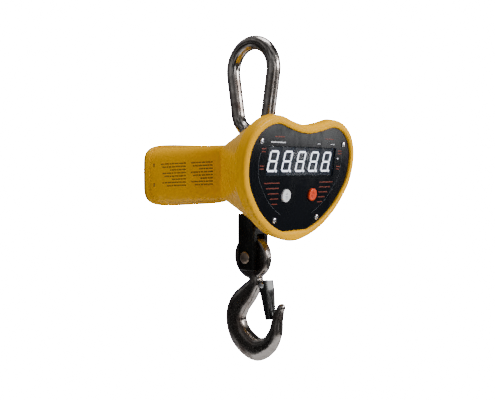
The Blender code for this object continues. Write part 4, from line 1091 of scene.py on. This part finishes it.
def make_hook():
    """Forged hook: a flat-sided back that rounds into the bowl, an eye, and the ear that holds the latch."""
    stations = smooth_path(HOOK_STATIONS, 8)
    rings = []
    for i, (y, z, width, thick) in enumerate(stations):
        before, after = stations[max(i - 1, 0)], stations[min(i + 1, len(stations) - 1)]
        along = Vector((after[0] - before[0], after[1] - before[1])).normalized()
        ring = []
        for k in range(40):
            turn = math.tau * k / 40
            c, s = math.cos(turn), math.sin(turn)
            power = 2 / 3.4 if c < 0 else 2 / 2.2
            across = math.copysign(abs(c) ** power, c) * width / 2
            sideways = math.copysign(abs(s) ** power, s) * thick / 2
            ring.append((sideways, y - along.y * across, z + along.x * across))
        rings.append(ring)
    hook = piece("forged_hook", skin(rings), FORGED, "hook_body", ["hook"])
    corner = 0.0040
    reach, half = HOOK_EYE_RADIUS - corner, HOOK_EYE_HALF_WIDTH - corner
    eye = arc((reach, -half), corner, -90, 0, 6) + arc((reach, half), corner, 0, 90, 6)
    ear, ear_radius = 0.0045, 0.0070
    ear_profile = [(ear_radius, -ear), (ear_radius, ear)]
    _, pin_y, pin_z = LATCH_PIN
    root = block((-ear, pin_y, pin_z - ear_radius * 0.85), (ear, -0.0080, pin_z + ear_radius * 0.85))
    centre = (0.0, 0.0, PIN_Z)
    boolean(hook, "UNION", [turned(eye, centre, "X", 96), turned(ear_profile, LATCH_PIN, "X", 40), root])
    soften(hook, 0.0011, 5)
    bores = [bore(PIN_BORE, CROSS_CUT, centre, "X", 48), bore(RIVET_BORE, CROSS_CUT, LATCH_PIN, "X", 24)]
    boolean(hook, "DIFFERENCE", bores)
    hook.data.shade_smooth()
    hook.data.set_sharp_from_angle(angle=math.radians(50))


def latch_point(x, along, outward):
    down = (-math.sin(LATCH_LEAN), -math.cos(LATCH_LEAN))
    out = (-math.cos(LATCH_LEAN), math.sin(LATCH_LEAN))
    _, pin_y, pin_z = LATCH_PIN
    return (x, pin_y + down[0] * along + out[0] * outward, pin_z + down[1] * along + out[1] * outward)


def make_latch():
    """Bent sheet latch with rounded folds and a pressed rib, on a rivet with a coiled spring."""
    half, sheet, web, length = LATCH_HALF_WIDTH, 0.0015, 0.0090, 0.0520
    stations = []
    for i in range(27):
        along = -0.0058 + (length + 0.0058) * i / 26
        share = max(0.0, (along - 0.008) / (length - 0.008))
        wide = half - 0.0016 * share
        outward = web - 0.0036 * share
        foot = -0.0052 + 0.0024 * share
        rib = 0.0011 * max(0.0, math.sin(math.pi * min(max((along - 0.012) / 0.034, 0.0), 1.0))) ** 0.5
        stations.append((along, wide, outward, foot, rib))
    rings = []
    for along, wide, outward, foot, rib in stations:
        bend = 0.0022
        outer = [(-wide, foot), (-wide, outward - bend)]
        outer += arc((-wide + bend, outward - bend), bend, 180, 90, 4)[1:]
        outer += [(-0.0026, outward), (-0.0016, outward - rib), (0.0016, outward - rib), (0.0026, outward)]
        outer += arc((wide - bend, outward - bend), bend, 90, 0, 4)
        outer += [(wide, foot)]
        inner_bend = bend - sheet
        inner = [(wide - sheet, foot), (wide - sheet, outward - bend)]
        inner += arc((wide - bend, outward - bend), inner_bend, 0, 90, 4)[1:]
        inside = outward - sheet
        inner += [(0.0026, inside), (0.0016, inside - rib), (-0.0016, inside - rib), (-0.0026, inside)]
        inner += arc((-wide + bend, outward - bend), inner_bend, 90, 180, 4)
        inner += [(-wide + sheet, foot)]
        rings.append([latch_point(x, along, out) for x, out in outer + inner])
    piece("latch_plate", skin(rings), LATCH_BLACK, "latch_body", ["latch"], 35.0)
    end = half + GAP
    head = [(0.0044, end), (0.0037, end + 0.0011), (0.0022, end + 0.0018), (0.0006, end + 0.0020)]
    rivet = [(radius, -x) for radius, x in reversed(head)] + [(0.0025, -end), (0.0025, end)] + head
    shape = turned(rivet, LATCH_PIN, "X", 40)
    piece("latch_rivet_pin", shape, ZINC, "hook_body", ["latch_rivet"], 38.0)
    make_spring()


def make_spring():
    """Torsion spring coiled round the rivet."""
    wire, radius, turns, pitch = 0.00045, 0.0037, 2.6, 0.0009
    ear = 0.0045
    start = -ear - GAP - wire
    _, pin_y, pin_z = LATCH_PIN
    steps = 36
    centre_line = []
    for i in range(int(turns * steps) + 1):
        turn = math.tau * i / steps
        y, z = pin_y + radius * math.cos(turn), pin_z + radius * math.sin(turn)
        centre_line.append(Vector((start - pitch * i / steps, y, z)))
    rings = []
    side = None
    for i, place in enumerate(centre_line):
        before, after = centre_line[max(i - 1, 0)], centre_line[min(i + 1, len(centre_line) - 1)]
        along = (after - before).normalized()
        if side is None:
            side = along.orthogonal().normalized()
        else:
            side = (side - along * side.dot(along)).normalized()
        up = along.cross(side)
        rings.append([tuple(place + side * across + up * rise) for across, rise in disc(wire, 10)])
    piece("latch_coil", skin(rings), SPRING_STEEL, "latch_body", ["latch_spring"])


def finish_inner_nodes():
    """Pieces inside the housing keep their solids and take their finish."""
    finishes = {
        ZINC: ["upper_stud", "lower_stud", "lock_nut", "cell_bracket", "bracket_screw_1", "bracket_screw_2"],
        CELL_METAL: ["load_cell"],
        BOARD: ["display_board", "main_board"],
        NYLON: ["hold_switch", "tare_switch"],
        RUBBER: ["panel_gasket", "load_cell_cable"],
        CASE: ["battery"],
    }
    finishes[ZINC] += [f"board_post_{i}" for i in range(1, 5)] + [f"shell_bolt_{i}" for i in range(1, 5)]
    finishes[ZINC] += ["battery_tray", "socket_contact"]
    for material, names in finishes.items():
        for name in names:
            NODES[name].data.materials.clear()
            NODES[name].data.materials.append(material)


# Studio

ROOM_LIGHT = 0.42            # strength of the room round the object
SEEN_WHITE = 40.0            # strength of the backdrop that the camera sees
KEY_POWER = 40.0
FRONT_POWER = 4.0
TOP_POWER = 15.0
EDGE_POWER = 8.0
GLINT_POWER = 1.1
FLOOR_RADIUS = 0.60
FLOOR_TOP = -0.79
FLOOR_THICKNESS = 0.01
LENS, SENSOR_WIDTH = 50.0, 36.0
CAMERA_PLACE = (-0.7701, -0.7067, -0.1779)
CAMERA_DROP, CAMERA_TURN = 2.66, 47.0  # degrees: down from level, and from facing +Y to the right


def area_light(name, place, target, size, power, colour=(1.0, 1.0, 1.0)):
    light = bpy.data.lights.new(name, "AREA")
    light.shape = "RECTANGLE"
    light.size, light.size_y = size
    light.energy = power
    light.color = colour
    lamp = bpy.data.objects.new(name, light)
    lamp.location = place
    lamp.rotation_euler = (Vector(target) - Vector(place)).to_track_quat("-Z", "Y").to_euler()
    bpy.context.scene.collection.objects.link(lamp)
    return lamp


def make_studio():
    world = bpy.data.worlds.new("studio")
    bpy.context.scene.world = world
    room = Room(world)
    place = room.node("ShaderNodeTexCoord", {}, {}, "Generated")
    bands = room.node("ShaderNodeTexNoise", {}, {"Vector": place, "Scale": 2.2, "Detail": 2.0}, "Fac")
    walls = room.node("ShaderNodeValToRGB", {"stops": [(0.46, 0.02), (0.60, 1.0)]}, {"Fac": bands}, "Color")
    around = room.node("ShaderNodeBackground", {}, {"Color": walls, "Strength": ROOM_LIGHT})
    seen = room.node("ShaderNodeBackground", {}, {"Color": (1.0, 1.0, 1.0), "Strength": SEEN_WHITE})
    direct = room.node("ShaderNodeLightPath", {}, {}, "Is Camera Ray")
    room.feed(room.surface, room.node("ShaderNodeMixShader", {}, {0: direct, 1: around, 2: seen}))
    middle = (0.0, 0.0, -0.22)
    area_light("key", (0.85, -1.60, 0.45), middle, (0.7, 0.7), KEY_POWER, (1.0, 0.98, 0.94))
    area_light("front", (-0.75, -1.75, 0.10), middle, (0.3, 1.2), FRONT_POWER)
    area_light("top", (0.10, 0.10, 1.45), middle, (1.0, 0.7), TOP_POWER)
    edge = area_light("edge", (-1.30, 1.00, 0.20), middle, (0.25, 1.4), EDGE_POWER)
    edge.visible_glossy = False
    # A small low lamp for the latch's web. The panel mirrors it only faintly.
    area_light("latch_glint", (0.96, -0.90, -0.26), LATCH_PIN, (0.34, 0.18), GLINT_POWER)
    make_floor()


def make_floor():
    mesh = bpy.data.meshes.new("studio_floor")
    points, faces = turned([(FLOOR_RADIUS, FLOOR_TOP - FLOOR_THICKNESS), (FLOOR_RADIUS, FLOOR_TOP)], sides=96)
    mesh.from_pydata(points, [], faces)
    mesh.materials.append(floor_paint())
    floor = bpy.data.objects.new("studio_floor", mesh)
    bpy.context.scene.collection.objects.link(floor)


def floor_paint():
    p = Paint("pale_floor")
    tone = p.noise(1.5, 2.0)
    return p.finish(
        Base_Color=p.blend(tone, (0.86, 0.86, 0.86), (0.89, 0.89, 0.89)),
        Roughness=0.8 + tone * 0.1,
    )


def make_camera():
    view = bpy.data.cameras.new("studio_camera")
    view.lens = LENS
    view.sensor_width = SENSOR_WIDTH
    camera = bpy.data.objects.new("studio_camera", view)
    camera.location = CAMERA_PLACE
    camera.rotation_euler = (math.radians(90.0 - CAMERA_DROP), 0.0, math.radians(-CAMERA_TURN))
    bpy.context.scene.collection.objects.link(camera)
    bpy.context.scene.camera = camera


make_camera()
make_front_shell()
make_rear_shell()
make_rear_cover()
make_rear_fittings()
make_flank_print()
make_panel()
make_lens()
make_digits()
make_panel_prints()
make_buttons()
make_ring()
make_sleeves()
make_fork()
make_hook()
make_latch()
finish_inner_nodes()
make_studio()
